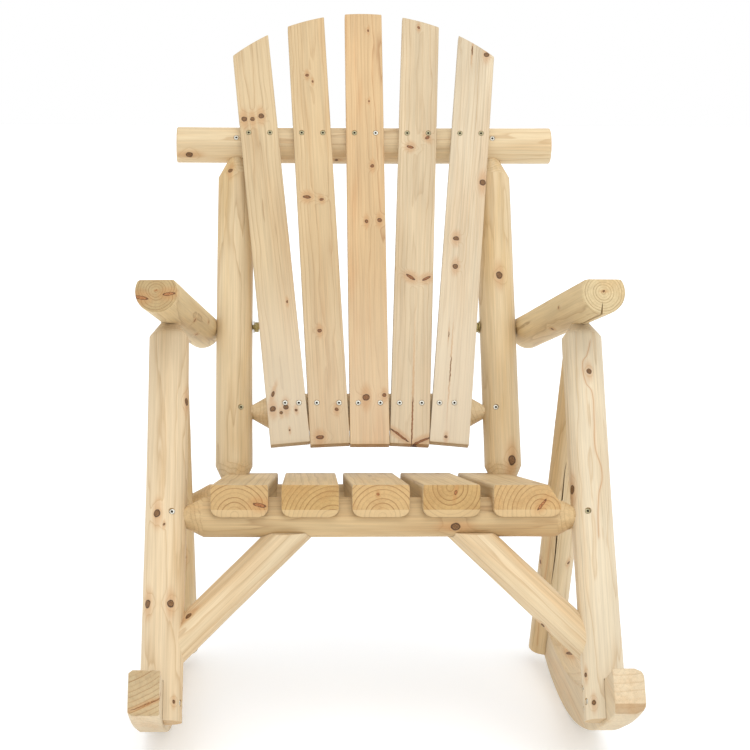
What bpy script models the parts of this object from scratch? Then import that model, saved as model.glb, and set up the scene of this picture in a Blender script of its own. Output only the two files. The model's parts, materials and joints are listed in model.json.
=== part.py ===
"""Log rocking chair: peeled fir logs, slatted seat and fanned slatted back on two curved rockers.

Metres, +Z up. The front faces -Y and +X is the right side as seen from the front. The pieces are
laid out with the seat level, in the design frame, whose origin is the point of the rocker's arc
below the arc's centre. The whole chair then leans back by LEAN about the arc's centre, which is how
it stands when nobody sits in it, with its centre of mass over the line that touches the floor.
"""
import math

import bmesh
import bpy
from mathutils import Matrix, Vector

# Whole chair
GAP = 0.0003
LEAN = math.radians(9.5)
CENTRE_Y = 0.0451
SIDES = {"left": -1, "right": 1}
FACETS = 20

# Rockers
ROCKER_RADIUS = 0.90
ROCKER_DEPTH = 0.057
ROCKER_THICKNESS = 0.040
ROCKER_INNER_X = 0.2825
ROCKER_ROUNDING = 0.008
FACET_ANGLE = math.radians(2.5)
FACETS_FORWARD = 12
FACETS_BACKWARD = 6
LEG_END_RISE = 0.006

# Legs: axis points as (y, z) in the design frame
LOG_RADIUS = 0.0275
LEG_X = 0.2865
FRONT_LEG_FOOT = (-0.2578, 0.0)
FRONT_LEG_TOP = (-0.0339, 0.5764)
LEG_TENON_RADIUS = 0.012
LEG_TENON_LENGTH = 0.018
LEG_CONE_LENGTH = 0.022
REAR_LEG_RADIUS = 0.026
REAR_LEG_FOOT = (0.375, 0.004)
REAR_LEG_TOP = (-0.0499, 0.515)

# Armrests
ARM_FRONT = (0.297, -0.170, 0.597)
ARM_BACK = (0.2515, 0.265, 0.563)
ARM_FLAT_HEIGHT = 0.0148

# Seat rails: axis as (y, z)
FRONT_RAIL_AXIS = (-0.1416, 0.2969)
FRONT_RAIL_RADIUS = 0.0265
REAR_RAIL_AXIS = (0.1380, 0.3030)
REAR_RAIL_RADIUS = 0.0275
SEAT_TENON_RADIUS = 0.0145
SEAT_TENON_LENGTH = 0.022
SEAT_CONE_LENGTH = 0.024

# Seat slats
SEAT_SLAT_WIDTH = 0.076
SEAT_SLAT_THICKNESS = 0.043
SEAT_SLAT_FRONT_Y = -0.180
SEAT_SLAT_BACK_Y = 0.185
SEAT_FRONT_Z = 0.342
SEAT_BACK_Z = 0.346
SEAT_PITCH_FRONT = 0.0935
SEAT_PITCH_BACK = 0.0865
SEAT_SLAT_ROUNDING = 0.011
WIDE_SLAT = 5
WIDE_SLAT_EXTRA = 0.014
WANE_WIDTH = 0.017
WANE_HEIGHT = 0.026

# Back frame: posts, rails and the plane of the slats
POST_X = 0.2005
POST_BASE = (0.155, 0.345)
TOP_RAIL_AXIS = (0.3180, 0.8574)
TOP_RAIL_RADIUS = 0.028
TOP_RAIL_LENGTH = 0.588
LOWER_RAIL_HEIGHT = 0.0965
LOWER_RAIL_RADIUS = 0.028
LOWER_RAIL_TENON_RADIUS = 0.011
LOWER_RAIL_TENON_LENGTH = 0.018
LOWER_RAIL_CONE_LENGTH = 0.030
POST_TENON_BELOW = 0.046
POST_CONE_BELOW = 0.018
POST_CONE_ABOVE = 0.012
POST_FOOT_TENON_RADIUS = 0.014
POST_HEAD_TENON_RADIUS = 0.010
POST_HEAD_CONE_FROM_AXIS = 0.058
POST_HEAD_TENON_FROM_AXIS = 0.022
POST_HEAD_TENON_PAST_AXIS = 0.004

# Back slats
BACK_SLAT_WIDTH = 0.058
BACK_SLAT_THICKNESS = 0.018
BACK_SLAT_PITCH = 0.0585
BACK_SLAT_FAN = math.radians(2.68)
BACK_SLAT_DROP = 0.0641
BACK_SLAT_RISE = 0.650
ARCH_RADIUS = 0.320

# Braces
BRACE_RADIUS = 0.0235
BRACE_TOP = (0.0998, -0.1354, 0.2946)
BRACE_FOOT = (0.2840, -0.2053, 0.1197)
BRACE_TOP_CUT = 0.276

# Fasteners
SCREW_HEAD_RADIUS = 0.0038
SCREW_RADIUS = 0.0019
SCREW_RIM = 0.0008
SCREW_COUNTERSINK = 0.0032
SCREW_RECESS = 0.004
SLAT_SCREW_LENGTH = 0.042
TOP_RAIL_SCREW_LENGTH = 0.046
LOWER_RAIL_SCREW_LENGTH = 0.034
LOWER_RAIL_SCREW_INSET = 0.010
FRONT_RAIL_SCREW_LENGTH = 0.038
FRONT_RAIL_SCREW_INSET = 0.0105
ROCKER_SCREW_LENGTH = 0.050
ROCKER_SCREW_HEIGHT = 0.085
SLAT_SCREW_OFFSETS = (-0.0165, 0.0165)
OUTER_SCREW_OFFSETS = {1: (-0.0020, 0.0185), 5: (-0.0185, 0.0035)}
BOLT_RADIUS = 0.0040
BOLT_HEAD_RADIUS = 0.0090
BOLT_HEAD_HEIGHT = 0.0035
BOLT_HEIGHT = 0.5665
BOLT_END = 0.002
WASHER_RADIUS = 0.0095
WASHER_THICKNESS = 0.0015
NUT_RADIUS = 0.0078
NUT_HEIGHT = 0.0065
ROUND_FASTENER_SIDES = 10

# Colours
LOG_COLOUR = (0.80, 0.60, 0.37)
BOARD_COLOUR = (0.83, 0.63, 0.39)
ZINC_COLOUR = (0.62, 0.60, 0.55)


def clear_scene():
    """Remove whatever the new file opened with."""
    for item in list(bpy.data.objects):
        bpy.data.objects.remove(item, do_unlink=True)


def new_collection(name):
    collection = bpy.data.collections.new(name)
    bpy.context.scene.collection.children.link(collection)
    return collection


def new_empty(name, parent, location, rotation):
    empty = bpy.data.objects.new(name, None)
    empty.location = location
    empty.rotation_euler = rotation
    empty.parent = parent
    PARTS.objects.link(empty)
    return empty


def principled(name, colour, roughness, metallic=0.0):
    material = bpy.data.materials.new(name)
    material.use_nodes = True
    shader = material.node_tree.nodes["Principled BSDF"]
    shader.inputs["Base Color"].default_value = (*colour, 1.0)
    shader.inputs["Roughness"].default_value = roughness
    shader.inputs["Metallic"].default_value = metallic
    return material


def add_object(name, mesh, material):
    """Link a mesh as a part, or as a cutter when no material is given."""
    piece = bpy.data.objects.new(name, mesh)
    piece.parent = DESIGN
    if material is None:
        CUTTERS.objects.link(piece)
        piece.hide_render = True
        piece.display_type = "WIRE"
    else:
        PARTS.objects.link(piece)
        mesh.materials.append(material)
    return piece


def aim(piece, start, direction):
    """Put the piece's origin at start with its local Z along direction."""
    piece.rotation_mode = "QUATERNION"
    piece.location = start
    piece.rotation_quaternion = Vector(direction).to_track_quat("Z", "Y")


def turned(name, start, direction, profile, material, sides=FACETS):
    """A turned solid. The profile lists (distance along the axis, radius), from start onwards."""
    heights = [profile[0][0], *[height for height, _ in profile], profile[-1][0]]
    radii = [0.0, *[radius for _, radius in profile], 0.0]
    outline = bmesh.new()
    points = [outline.verts.new((radius, 0, height)) for height, radius in zip(heights, radii)]
    points.reverse()
    for upper, lower in zip(points, points[1:]):
        outline.edges.new((upper, lower))
    mesh = bpy.data.meshes.new(name)
    outline.to_mesh(mesh)
    outline.free()
    piece = add_object(name, mesh, material)
    aim(piece, start, direction)
    screw = piece.modifiers.new("Turn", "SCREW")
    screw.axis = "Z"
    screw.angle = math.tau
    screw.steps = sides
    screw.render_steps = sides
    screw.use_merge_vertices = True
    screw.merge_threshold = 0.00005
    screw.use_smooth_shade = True
    return piece


def grown(profile):
    """The profile of a hole that takes the turned solid of the given profile with GAP all round."""
    wider = [(height, radius + GAP) for height, radius in profile]
    wider[0] = (wider[0][0] - GAP, wider[0][1])
    wider[-1] = (wider[-1][0] + GAP, wider[-1][1])
    return wider


def turned_with_cutter(name, start, direction, profile, material, sides=FACETS):
    """A turned part, and the cutter that makes room for it in its neighbours."""
    piece = turned(name, start, direction, profile, material, sides)
    cutter = turned(name + "_room", start, direction, grown(profile), None, sides)
    return piece, cutter


def cut(piece, *cutters):
    for cutter in cutters:
        boolean = piece.modifiers.new("Cut " + cutter.name, "BOOLEAN")
        boolean.operation = "DIFFERENCE"
        boolean.object = cutter


def block(name, size, centre, rotation, material):
    """A rectangular block whose size is applied to its mesh."""
    shape = bmesh.new()
    bmesh.ops.create_cube(shape, size=1.0, matrix=Matrix.Diagonal((*size, 1.0)))
    mesh = bpy.data.meshes.new(name)
    shape.to_mesh(mesh)
    shape.free()
    piece = add_object(name, mesh, material)
    piece.location = centre
    piece.rotation_mode = "QUATERNION"
    piece.rotation_quaternion = rotation
    return piece


def extruded(name, outline, low_x, high_x, material):
    """A prism along X with an outline of (y, z) points."""
    shape = bmesh.new()
    ring = [shape.verts.new((low_x, y, z)) for y, z in outline]
    face = shape.faces.new(ring)
    grown_region = bmesh.ops.extrude_face_region(shape, geom=[face])
    moved = [part for part in grown_region["geom"] if isinstance(part, bmesh.types.BMVert)]
    bmesh.ops.translate(shape, vec=(high_x - low_x, 0, 0), verts=moved)
    bmesh.ops.recalc_face_normals(shape, faces=shape.faces)
    mesh = bpy.data.meshes.new(name)
    shape.to_mesh(mesh)
    shape.free()
    return add_object(name, mesh, material)


def arc_point(radius, angle):
    return (radius * math.sin(angle), ROCKER_RADIUS - radius * math.cos(angle))


def rocker_outline(growth):
    """Outline of a rocker, whose lower facets are centred on the line of contact with the floor."""
    first = LEAN - (FACETS_FORWARD + 0.5) * FACET_ANGLE
    count = FACETS_FORWARD + FACETS_BACKWARD + 1
    angles = [first + step * FACET_ANGLE for step in range(count + 1)]
    under = [arc_point(ROCKER_RADIUS + growth, angle) for angle in angles]
    over = [arc_point(ROCKER_RADIUS - ROCKER_DEPTH - growth, angle) for angle in reversed(angles)]
    return under + over


def round_long_edges(mesh, chosen, width, segments):
    """Bevel the edges that chosen() picks from their two end points."""
    shape = bmesh.new()
    shape.from_mesh(mesh)
    edges = [edge for edge in shape.edges if chosen(edge.verts[0].co, edge.verts[1].co)]
    bmesh.ops.bevel(
        shape, geom=edges, offset=width, segments=segments, profile=0.5, affect="EDGES", clamp_overlap=True
    )
    shape.to_mesh(mesh)
    shape.free()


def make_rocker(label, side):
    inner = side * ROCKER_INNER_X
    outer = side * (ROCKER_INNER_X + ROCKER_THICKNESS)
    rocker = extruded("rocker_" + label, rocker_outline(0.0), inner, outer, LOG)
    round_long_edges(
        rocker.data,
        lambda a, b: abs(a.x - outer) < GAP and abs(b.x - outer) < GAP,
        ROCKER_ROUNDING,
        2,
    )
    room = extruded(
        "rocker_room_" + label, rocker_outline(GAP), inner - side * GAP, outer + side * LOG_RADIUS, None
    )
    return rocker, room


def make_ground_trim(label, side):
    """Cutter below the arc that ends the legs just above the rocker's underside."""
    count = FACETS_FORWARD + FACETS_BACKWARD + 9
    first = LEAN - (FACETS_FORWARD + 4.5) * FACET_ANGLE
    angles = [first + step * FACET_ANGLE for step in range(count + 1)]
    over = [arc_point(ROCKER_RADIUS - LEG_END_RISE, angle) for angle in angles]
    under = [arc_point(ROCKER_RADIUS + 4 * LOG_RADIUS, angle) for angle in reversed(angles)]
    reach = 2 * LOG_RADIUS
    return extruded(
        "ground_trim_" + label, over + under, side * (LEG_X - reach), side * (LEG_X + reach), None
    )


def along(start, end, x):
    """Start, direction and length of a log from one (y, z) point to another in a plane of constant x."""
    first = Vector((x, *start))
    last = Vector((x, *end))
    return first, last - first, (last - first).length


def make_front_leg(label, side):
    start, direction, length = along(FRONT_LEG_FOOT, FRONT_LEG_TOP, side * LEG_X)
    shoulder = length - LEG_TENON_LENGTH
    profile = [
        (0.0, LOG_RADIUS),
        (shoulder - LEG_CONE_LENGTH, LOG_RADIUS),
        (shoulder, LEG_TENON_RADIUS),
        (length, LEG_TENON_RADIUS),
    ]
    return turned_with_cutter("front_leg_" + label, start, direction, profile, LOG)


def make_rear_leg(label, side):
    start, direction, length = along(REAR_LEG_FOOT, REAR_LEG_TOP, side * LEG_X)
    profile = [(0.0, REAR_LEG_RADIUS), (length, REAR_LEG_RADIUS)]
    return turned("rear_leg_" + label, start, direction, profile, LOG)


def make_armrest(label, side):
    start = Vector((side * ARM_FRONT[0], *ARM_FRONT[1:]))
    end = Vector((side * ARM_BACK[0], *ARM_BACK[1:]))
    direction = end - start
    arm = turned(
        "armrest_" + label, start, direction, [(0.0, LOG_RADIUS), (direction.length, LOG_RADIUS)], LOG
    )
    turn = direction.to_track_quat("Y", "Z")
    height = LOG_RADIUS
    lift = turn @ Vector((0, 0, ARM_FLAT_HEIGHT + height / 2))
    planing = block(
        "armrest_planing_" + label,
        (4 * LOG_RADIUS, direction.length * 1.2, height),
        (start + end) / 2 + lift,
        turn,
        None,
    )
    cut(arm, planing)
    return arm


def cross_rail(name, axis, radius, inside, tenon, cone, tenon_radius, material):
    """A rail along X with a cone and a tenon at each end. inside is half the clear width."""
    half = inside + tenon
    profile = [
        (0.0, tenon_radius),
        (tenon, tenon_radius),
        (tenon + cone, radius),
        (2 * half - tenon - cone, radius),
        (2 * half - tenon, tenon_radius),
        (2 * half, tenon_radius),
    ]
    return turned_with_cutter(name, Vector((-half, *axis)), Vector((1, 0, 0)), profile, material)


def post_direction():
    return Vector((0, TOP_RAIL_AXIS[0] - POST_BASE[0], TOP_RAIL_AXIS[1] - POST_BASE[1])).normalized()


def make_back_post(label, side):
    """A back post, whose tenons enter the rear seat rail below and the top rail above."""
    direction = post_direction()
    base = Vector((side * POST_X, *POST_BASE))
    reach = (Vector((side * POST_X, *TOP_RAIL_AXIS)) - base).length
    start = base - direction * POST_TENON_BELOW
    seat = POST_TENON_BELOW
    profile = [
        (0.0, POST_FOOT_TENON_RADIUS),
        (seat - POST_CONE_BELOW, POST_FOOT_TENON_RADIUS),
        (seat + POST_CONE_ABOVE, LOG_RADIUS),
        (seat + reach - POST_HEAD_CONE_FROM_AXIS, LOG_RADIUS),
        (seat + reach - POST_HEAD_TENON_FROM_AXIS, POST_HEAD_TENON_RADIUS),
        (seat + reach + POST_HEAD_TENON_PAST_AXIS, POST_HEAD_TENON_RADIUS),
    ]
    return turned_with_cutter("back_post_" + label, start, direction, profile, LOG)


def make_seat_slat(number, place):
    """A thick plank from front to back, with its lower long edges rounded. The last is wider, with wane."""
    extra = WIDE_SLAT_EXTRA if number == WIDE_SLAT else 0.0
    width = SEAT_SLAT_WIDTH + extra
    front = Vector((place * SEAT_PITCH_FRONT + extra / 2, SEAT_SLAT_FRONT_Y, SEAT_FRONT_Z))
    back = Vector((place * SEAT_PITCH_BACK + extra / 2, SEAT_SLAT_BACK_Y, SEAT_BACK_Z))
    direction = back - front
    turn = direction.to_track_quat("Y", "Z")
    drop = turn @ Vector((0, 0, -SEAT_SLAT_THICKNESS / 2))
    slat = block(
        "seat_slat_%d" % number,
        (width, direction.length, SEAT_SLAT_THICKNESS),
        (front + back) / 2 + drop,
        turn,
        BOARD,
    )
    low = -SEAT_SLAT_THICKNESS / 2
    round_long_edges(
        slat.data,
        lambda a, b: a.z < low + GAP and b.z < low + GAP and abs(a.y - b.y) > width,
        SEAT_SLAT_ROUNDING,
        2,
    )
    if extra:
        slope = math.atan2(WANE_WIDTH, WANE_HEIGHT)
        reach = 2 * WANE_HEIGHT
        outward = Vector((math.cos(slope), 0, math.sin(slope)))
        edge = Vector((width / 2 - WANE_WIDTH / 2, 0, SEAT_SLAT_THICKNESS / 2 - WANE_HEIGHT / 2))
        centre = (front + back) / 2 + drop + turn @ (edge + outward * reach / 2)
        tilt = turn @ Matrix.Rotation(-slope, 3, "Y").to_quaternion()
        cut(slat, block("wane", (reach, direction.length * 1.2, 2 * reach), centre, tilt, None))
    return slat


def back_plane():
    """Origin, up and front directions of the plane through the axes of the two back rails."""
    up = post_direction()
    front = Vector((0, -up.z, up.y))
    origin = Vector((0, *POST_BASE)) + up * LOWER_RAIL_HEIGHT
    return origin, up, front


def back_point(across, height, proud):
    """A point across the back, at a height along it, and so far in front of its rails' axes."""
    origin, up, front = back_plane()
    return origin + Vector((across, 0, 0)) + up * height + front * proud


def slat_line(place, height):
    """How far across the back the middle of a slat is at a height along it."""
    foot = place * BACK_SLAT_PITCH
    return foot + math.tan(place * BACK_SLAT_FAN) * (height + BACK_SLAT_DROP)


def make_arch_trim(reach):
    """Cutter outside the circle that the tops of the back slats follow."""
    steps = 24
    spread = math.radians(62)
    angles = [spread * (2 * step / steps - 1) for step in range(steps + 1)]
    centre = BACK_SLAT_RISE - ARCH_RADIUS
    inner = [(ARCH_RADIUS * math.sin(angle), centre + ARCH_RADIUS * math.cos(angle)) for angle in angles]
    top = BACK_SLAT_RISE + 2 * LOG_RADIUS
    outline = [*inner, (inner[-1][0], top), (inner[0][0], top)]
    shape = bmesh.new()
    _, _, front = back_plane()
    face = shape.faces.new([shape.verts.new(back_point(across, height, 0.0)) for across, height in outline])
    region = bmesh.ops.extrude_face_region(shape, geom=[face])
    moved = [part for part in region["geom"] if isinstance(part, bmesh.types.BMVert)]
    bmesh.ops.translate(shape, vec=front * reach, verts=moved)
    bmesh.ops.recalc_face_normals(shape, faces=shape.faces)
    mesh = bpy.data.meshes.new("arch_trim")
    shape.to_mesh(mesh)
    shape.free()
    return add_object("arch_trim", mesh, None)


def make_back_slat(number, place):
    """A flat board on the front of the back rails, turned by its share of the fan."""
    _, up, front = back_plane()
    proud = TOP_RAIL_RADIUS + GAP + BACK_SLAT_THICKNESS / 2
    middle = (BACK_SLAT_RISE - BACK_SLAT_DROP) / 2
    lean = Matrix((Vector((1, 0, 0)), -front, up)).transposed().to_quaternion()
    fan = Matrix.Rotation(place * BACK_SLAT_FAN, 3, "Y").to_quaternion()
    slat = block(
        "back_slat_%d" % number,
        (BACK_SLAT_WIDTH, BACK_SLAT_THICKNESS, BACK_SLAT_RISE + BACK_SLAT_DROP),
        back_point(slat_line(place, middle), middle, proud),
        lean @ fan,
        BOARD,
    )
    return slat


def make_brace(label, side):
    foot = Vector((side * BRACE_FOOT[0], *BRACE_FOOT[1:]))
    top = Vector((side * BRACE_TOP[0], *BRACE_TOP[1:]))
    direction = top - foot
    brace = turned(
        "brace_" + label, foot, direction, [(0.0, BRACE_RADIUS), (direction.length, BRACE_RADIUS)], LOG
    )
    size = 6 * BRACE_RADIUS
    above = block(
        "brace_trim_" + label, (size, size, size), Vector((top.x, top.y, BRACE_TOP_CUT + size / 2)),
        Matrix.Identity(3).to_quaternion(), None,
    )
    cut(brace, above)
    return brace


def make_screw(name, point, inward, length):
    """A countersunk wood screw with its head at point, pointing inward."""
    profile = [
        (0.0, SCREW_HEAD_RADIUS),
        (SCREW_RIM, SCREW_HEAD_RADIUS),
        (SCREW_COUNTERSINK, SCREW_RADIUS),
        (length, SCREW_RADIUS),
    ]
    room = [(-SCREW_RECESS, SCREW_HEAD_RADIUS), *profile[1:]]
    screw = turned(name, point, inward, profile, ZINC, ROUND_FASTENER_SIDES)
    cutter = turned(name + "_room", point, inward, grown(room), None, ROUND_FASTENER_SIDES)
    return screw, cutter


def make_slat_screws(number, place, slat, rails):
    """Two screws through a back slat into each back rail."""
    _, _, front = back_plane()
    rows = {"lower": 0.0, "upper": (Vector(TOP_RAIL_AXIS) - Vector(POST_BASE)).length - LOWER_RAIL_HEIGHT}
    face = TOP_RAIL_RADIUS + GAP + BACK_SLAT_THICKNESS
    offsets = {"lower": OUTER_SCREW_OFFSETS.get(number, SLAT_SCREW_OFFSETS), "upper": SLAT_SCREW_OFFSETS}
    for row, height in rows.items():
        for mark, offset in zip("ab", offsets[row]):
            across = slat_line(place, height) + offset
            name = "slat_screw_%s_%d%s" % (row, number, mark)
            _, room = make_screw(name, back_point(across, height, face), -front, SLAT_SCREW_LENGTH)
            cut(slat, room)
            cut(rails[row], room)


def make_arm_bolt(label, side, arm, post):
    """Bolt, washer and nut that hold the back of an armrest to the side of a back post."""
    post_y = POST_BASE[0] + (BOLT_HEIGHT - POST_BASE[1]) * post_direction().y / post_direction().z
    inner = POST_X - LOG_RADIUS
    outer = ARM_BACK[0] + LOG_RADIUS + BOLT_HEAD_HEIGHT
    inward = Vector((-side, 0, 0))
    start = Vector((side * outer, post_y, BOLT_HEIGHT))
    length = outer - inner + NUT_HEIGHT + WASHER_THICKNESS + BOLT_END
    bolt, room = turned_with_cutter(
        "arm_bolt_" + label,
        start,
        inward,
        [
            (0.0, BOLT_HEAD_RADIUS),
            (BOLT_HEAD_HEIGHT, BOLT_HEAD_RADIUS),
            (BOLT_HEAD_HEIGHT, BOLT_RADIUS),
            (length, BOLT_RADIUS),
        ],
        ZINC,
        ROUND_FASTENER_SIDES,
    )
    cut(arm, room)
    cut(post, room)
    face = Vector((side * (inner - GAP), post_y, BOLT_HEIGHT))
    washer = turned(
        "arm_washer_" + label, face, inward, [(0.0, WASHER_RADIUS), (WASHER_THICKNESS, WASHER_RADIUS)],
        ZINC, 16,
    )
    nut_start = face + inward * (WASHER_THICKNESS + GAP)
    nut = turned(
        "arm_nut_" + label, nut_start, inward, [(0.0, NUT_RADIUS), (NUT_HEIGHT, NUT_RADIUS)], ZINC, 6
    )
    cut(washer, room)
    cut(nut, room)


def build():
    """Make every piece and cut the joints."""
    front_rail, front_rail_room = cross_rail(
        "seat_front_rail", FRONT_RAIL_AXIS, FRONT_RAIL_RADIUS, LEG_X - LOG_RADIUS,
        SEAT_TENON_LENGTH, SEAT_CONE_LENGTH, SEAT_TENON_RADIUS, LOG,
    )
    rear_rail, rear_rail_room = cross_rail(
        "seat_rear_rail", REAR_RAIL_AXIS, REAR_RAIL_RADIUS, LEG_X - REAR_LEG_RADIUS,
        SEAT_TENON_LENGTH, SEAT_CONE_LENGTH, SEAT_TENON_RADIUS, LOG,
    )
    top_rail = turned(
        "top_rail", Vector((-TOP_RAIL_LENGTH / 2, *TOP_RAIL_AXIS)), Vector((1, 0, 0)),
        [(0.0, TOP_RAIL_RADIUS), (TOP_RAIL_LENGTH, TOP_RAIL_RADIUS)], LOG,
    )
    lower_axis = back_point(0.0, 0.0, 0.0)
    lower_rail, lower_rail_room = cross_rail(
        "lower_back_rail", (lower_axis.y, lower_axis.z), LOWER_RAIL_RADIUS, POST_X - LOG_RADIUS,
        LOWER_RAIL_TENON_LENGTH, LOWER_RAIL_CONE_LENGTH, LOWER_RAIL_TENON_RADIUS, LOG,
    )
    posts = {}
    post_rooms = {}
    for label, side in SIDES.items():
        rocker, rocker_room = make_rocker(label, side)
        ground_trim = make_ground_trim(label, side)
        front_leg, front_leg_room = make_front_leg(label, side)
        rear_leg = make_rear_leg(label, side)
        arm = make_armrest(label, side)
        post, post_room = make_back_post(label, side)
        brace = make_brace(label, side)
        posts[label] = post
        post_rooms[label] = post_room
        cut(front_leg, rocker_room, ground_trim, front_rail_room)
        cut(rear_leg, rocker_room, ground_trim, front_leg_room, rear_rail_room)
        cut(arm, front_leg_room, post_room)
        cut(post, lower_rail_room)
        cut(rear_rail, post_room)
        cut(top_rail, post_room)
        cut(brace, front_leg_room, front_rail_room)
        make_arm_bolt(label, side, arm, post)
        make_frame_screws(label, side, front_leg, rocker, post, front_rail, lower_rail, top_rail)

    for number in range(1, 6):
        place = number - 3
        slat = make_seat_slat(number, place)
        cut(slat, front_rail_room, rear_rail_room)
        if place == -2:
            cut(slat, post_rooms["left"])
        if place == 2:
            cut(slat, post_rooms["right"])

    arch_trim = make_arch_trim(3 * LOG_RADIUS)
    for number in range(1, 6):
        place = number - 3
        slat = make_back_slat(number, place)
        cut(slat, arch_trim)
        make_slat_screws(number, place, slat, {"lower": lower_rail, "upper": top_rail})


def make_frame_screws(label, side, front_leg, rocker, post, front_rail, lower_rail, top_rail):
    """Screws through the logs: top rail to post, post to lower rail, leg to front rail, leg to rocker."""
    _, up, front = back_plane()
    reach = (Vector(TOP_RAIL_AXIS) - Vector(POST_BASE)).length - LOWER_RAIL_HEIGHT

    head = back_point(side * POST_X, reach, TOP_RAIL_RADIUS)
    _, room = make_screw("top_rail_screw_" + label, head, -front, TOP_RAIL_SCREW_LENGTH)
    cut(top_rail, room)
    cut(post, room)

    inset = LOWER_RAIL_SCREW_INSET
    head = back_point(side * (POST_X - inset), 0.0, math.sqrt(LOG_RADIUS**2 - inset**2))
    _, room = make_screw("lower_rail_screw_" + label, head, -front, LOWER_RAIL_SCREW_LENGTH)
    cut(post, room)
    cut(lower_rail, room)

    leg_up = (Vector((0, *FRONT_LEG_TOP)) - Vector((0, *FRONT_LEG_FOOT))).normalized()
    leg_front = Vector((0, -leg_up.z, leg_up.y))
    inset = FRONT_RAIL_SCREW_INSET
    head = Vector((side * (LEG_X - inset), *FRONT_RAIL_AXIS))
    head += leg_front * math.sqrt(LOG_RADIUS**2 - inset**2)
    _, room = make_screw("front_rail_screw_" + label, head, -leg_front, FRONT_RAIL_SCREW_LENGTH)
    cut(front_leg, room)
    cut(front_rail, room)

    axis = Vector((side * LEG_X, *FRONT_LEG_FOOT)) + leg_up * ROCKER_SCREW_HEIGHT
    head = axis - Vector((side * LOG_RADIUS, 0, 0))
    _, room = make_screw("rocker_screw_" + label, head, Vector((side, 0, 0)), ROCKER_SCREW_LENGTH)
    cut(front_leg, room)
    cut(rocker, room)


clear_scene()
PARTS = new_collection("rocking_chair")
CUTTERS = new_collection("cutters")
LOG = principled("peeled_log", LOG_COLOUR, 0.6)
BOARD = principled("planed_board", BOARD_COLOUR, 0.55)
ZINC = principled("zinc_steel", ZINC_COLOUR, 0.35, 1.0)
CHAIR = new_empty(
    "chair", None, (0, CENTRE_Y, ROCKER_RADIUS * math.cos(FACET_ANGLE / 2)), (-LEAN, 0, 0)
)
DESIGN = new_empty("design_frame", CHAIR, (0, 0, -ROCKER_RADIUS), (0, 0, 0))
build()
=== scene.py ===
"""Looks of the log rocking chair: every pole, board and fastener rebuilt in fine mesh over the CAD frame.

Metres. Pieces are laid out in the design frame, with the seat level (y back, z up), and DESIGN takes
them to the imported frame, where the chair leans back as it stands when nobody sits in it.
"""
import json
import math

import bmesh
import bpy
from mathutils import Matrix, Vector, noise

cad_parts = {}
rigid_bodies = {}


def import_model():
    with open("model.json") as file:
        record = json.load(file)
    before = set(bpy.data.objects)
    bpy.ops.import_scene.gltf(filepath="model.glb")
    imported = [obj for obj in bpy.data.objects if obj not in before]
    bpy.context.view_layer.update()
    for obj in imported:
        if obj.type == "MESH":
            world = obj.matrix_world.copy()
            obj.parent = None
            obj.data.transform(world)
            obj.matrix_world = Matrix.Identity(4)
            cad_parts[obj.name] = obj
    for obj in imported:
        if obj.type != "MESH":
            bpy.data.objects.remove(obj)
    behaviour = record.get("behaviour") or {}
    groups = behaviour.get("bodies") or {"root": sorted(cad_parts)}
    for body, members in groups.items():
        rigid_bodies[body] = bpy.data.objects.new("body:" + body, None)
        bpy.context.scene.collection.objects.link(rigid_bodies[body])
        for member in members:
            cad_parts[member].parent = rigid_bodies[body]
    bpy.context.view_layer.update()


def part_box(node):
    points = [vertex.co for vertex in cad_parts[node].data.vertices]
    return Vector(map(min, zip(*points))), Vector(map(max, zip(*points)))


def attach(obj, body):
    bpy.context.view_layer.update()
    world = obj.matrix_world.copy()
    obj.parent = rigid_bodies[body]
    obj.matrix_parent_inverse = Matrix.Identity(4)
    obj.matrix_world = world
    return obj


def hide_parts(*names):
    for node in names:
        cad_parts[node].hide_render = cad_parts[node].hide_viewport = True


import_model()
scene = bpy.context.scene

SIDES = {"left": -1, "right": 1}
GAP = 0.0003

# ---- sizes of the frame
FRONT_RAIL_AXIS = Vector((-0.1416, 0.2969))
REAR_RAIL_AXIS = Vector((0.1380, 0.3030))
TOP_RAIL_AXIS = Vector((0.3180, 0.8574))
POST_BASE = Vector((0.155, 0.345))
LOWER_RAIL_HEIGHT = 0.0965
POST_X = 0.2005
LEG_X = 0.2865
LOG_RADIUS = 0.0275
REAR_LEG_RADIUS = 0.026
FRONT_RAIL_RADIUS = 0.0265
REAR_RAIL_RADIUS = 0.0275
BACK_RAIL_RADIUS = 0.028
BRACE_RADIUS = 0.0235
ROCKER_RADIUS = 0.8998
ROCKER_CENTRE = 0.90
ROCKER_DEPTH = 0.0568
ROCKER_INNER_X = 0.2825
ROCKER_THICKNESS = 0.0398
SLAT_WIDTH = 0.0584
SLAT_THICKNESS = 0.018
SLAT_PITCH = 0.0585
SLAT_FAN = math.radians(2.68)
SLAT_DROP = 0.0641
SLAT_RISE = 0.650
ARCH_RADIUS = 0.320
SEAT_WIDTH = 0.076
SEAT_THICKNESS = 0.043
SCREW_HEAD = 0.0038
SCREW_OFFSETS = (-0.0165, 0.0165)
OUTER_OFFSETS = {1: (-0.0020, 0.0185), 5: (-0.0185, 0.0035)}


def middle(node):
    low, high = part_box(node)
    return (low + high) / 2


def design_to_world():
    """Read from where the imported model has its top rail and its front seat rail."""
    low = middle("seat_front_rail").yz
    high = middle("top_rail").yz
    drawn = TOP_RAIL_AXIS - FRONT_RAIL_AXIS
    stands = high - low
    turn = math.atan2(stands.y, stands.x) - math.atan2(drawn.y, drawn.x)
    return (
        Matrix.Translation((0, *low))
        @ Matrix.Rotation(turn, 4, "X")
        @ Matrix.Translation((0, *-FRONT_RAIL_AXIS))
    )


DESIGN = design_to_world()


def axes(origin, x, y, z):
    """Matrix whose columns are the given directions, placed at origin."""
    turn = Matrix((x, y, z)).transposed().to_4x4()
    return Matrix.Translation(origin) @ turn


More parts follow.
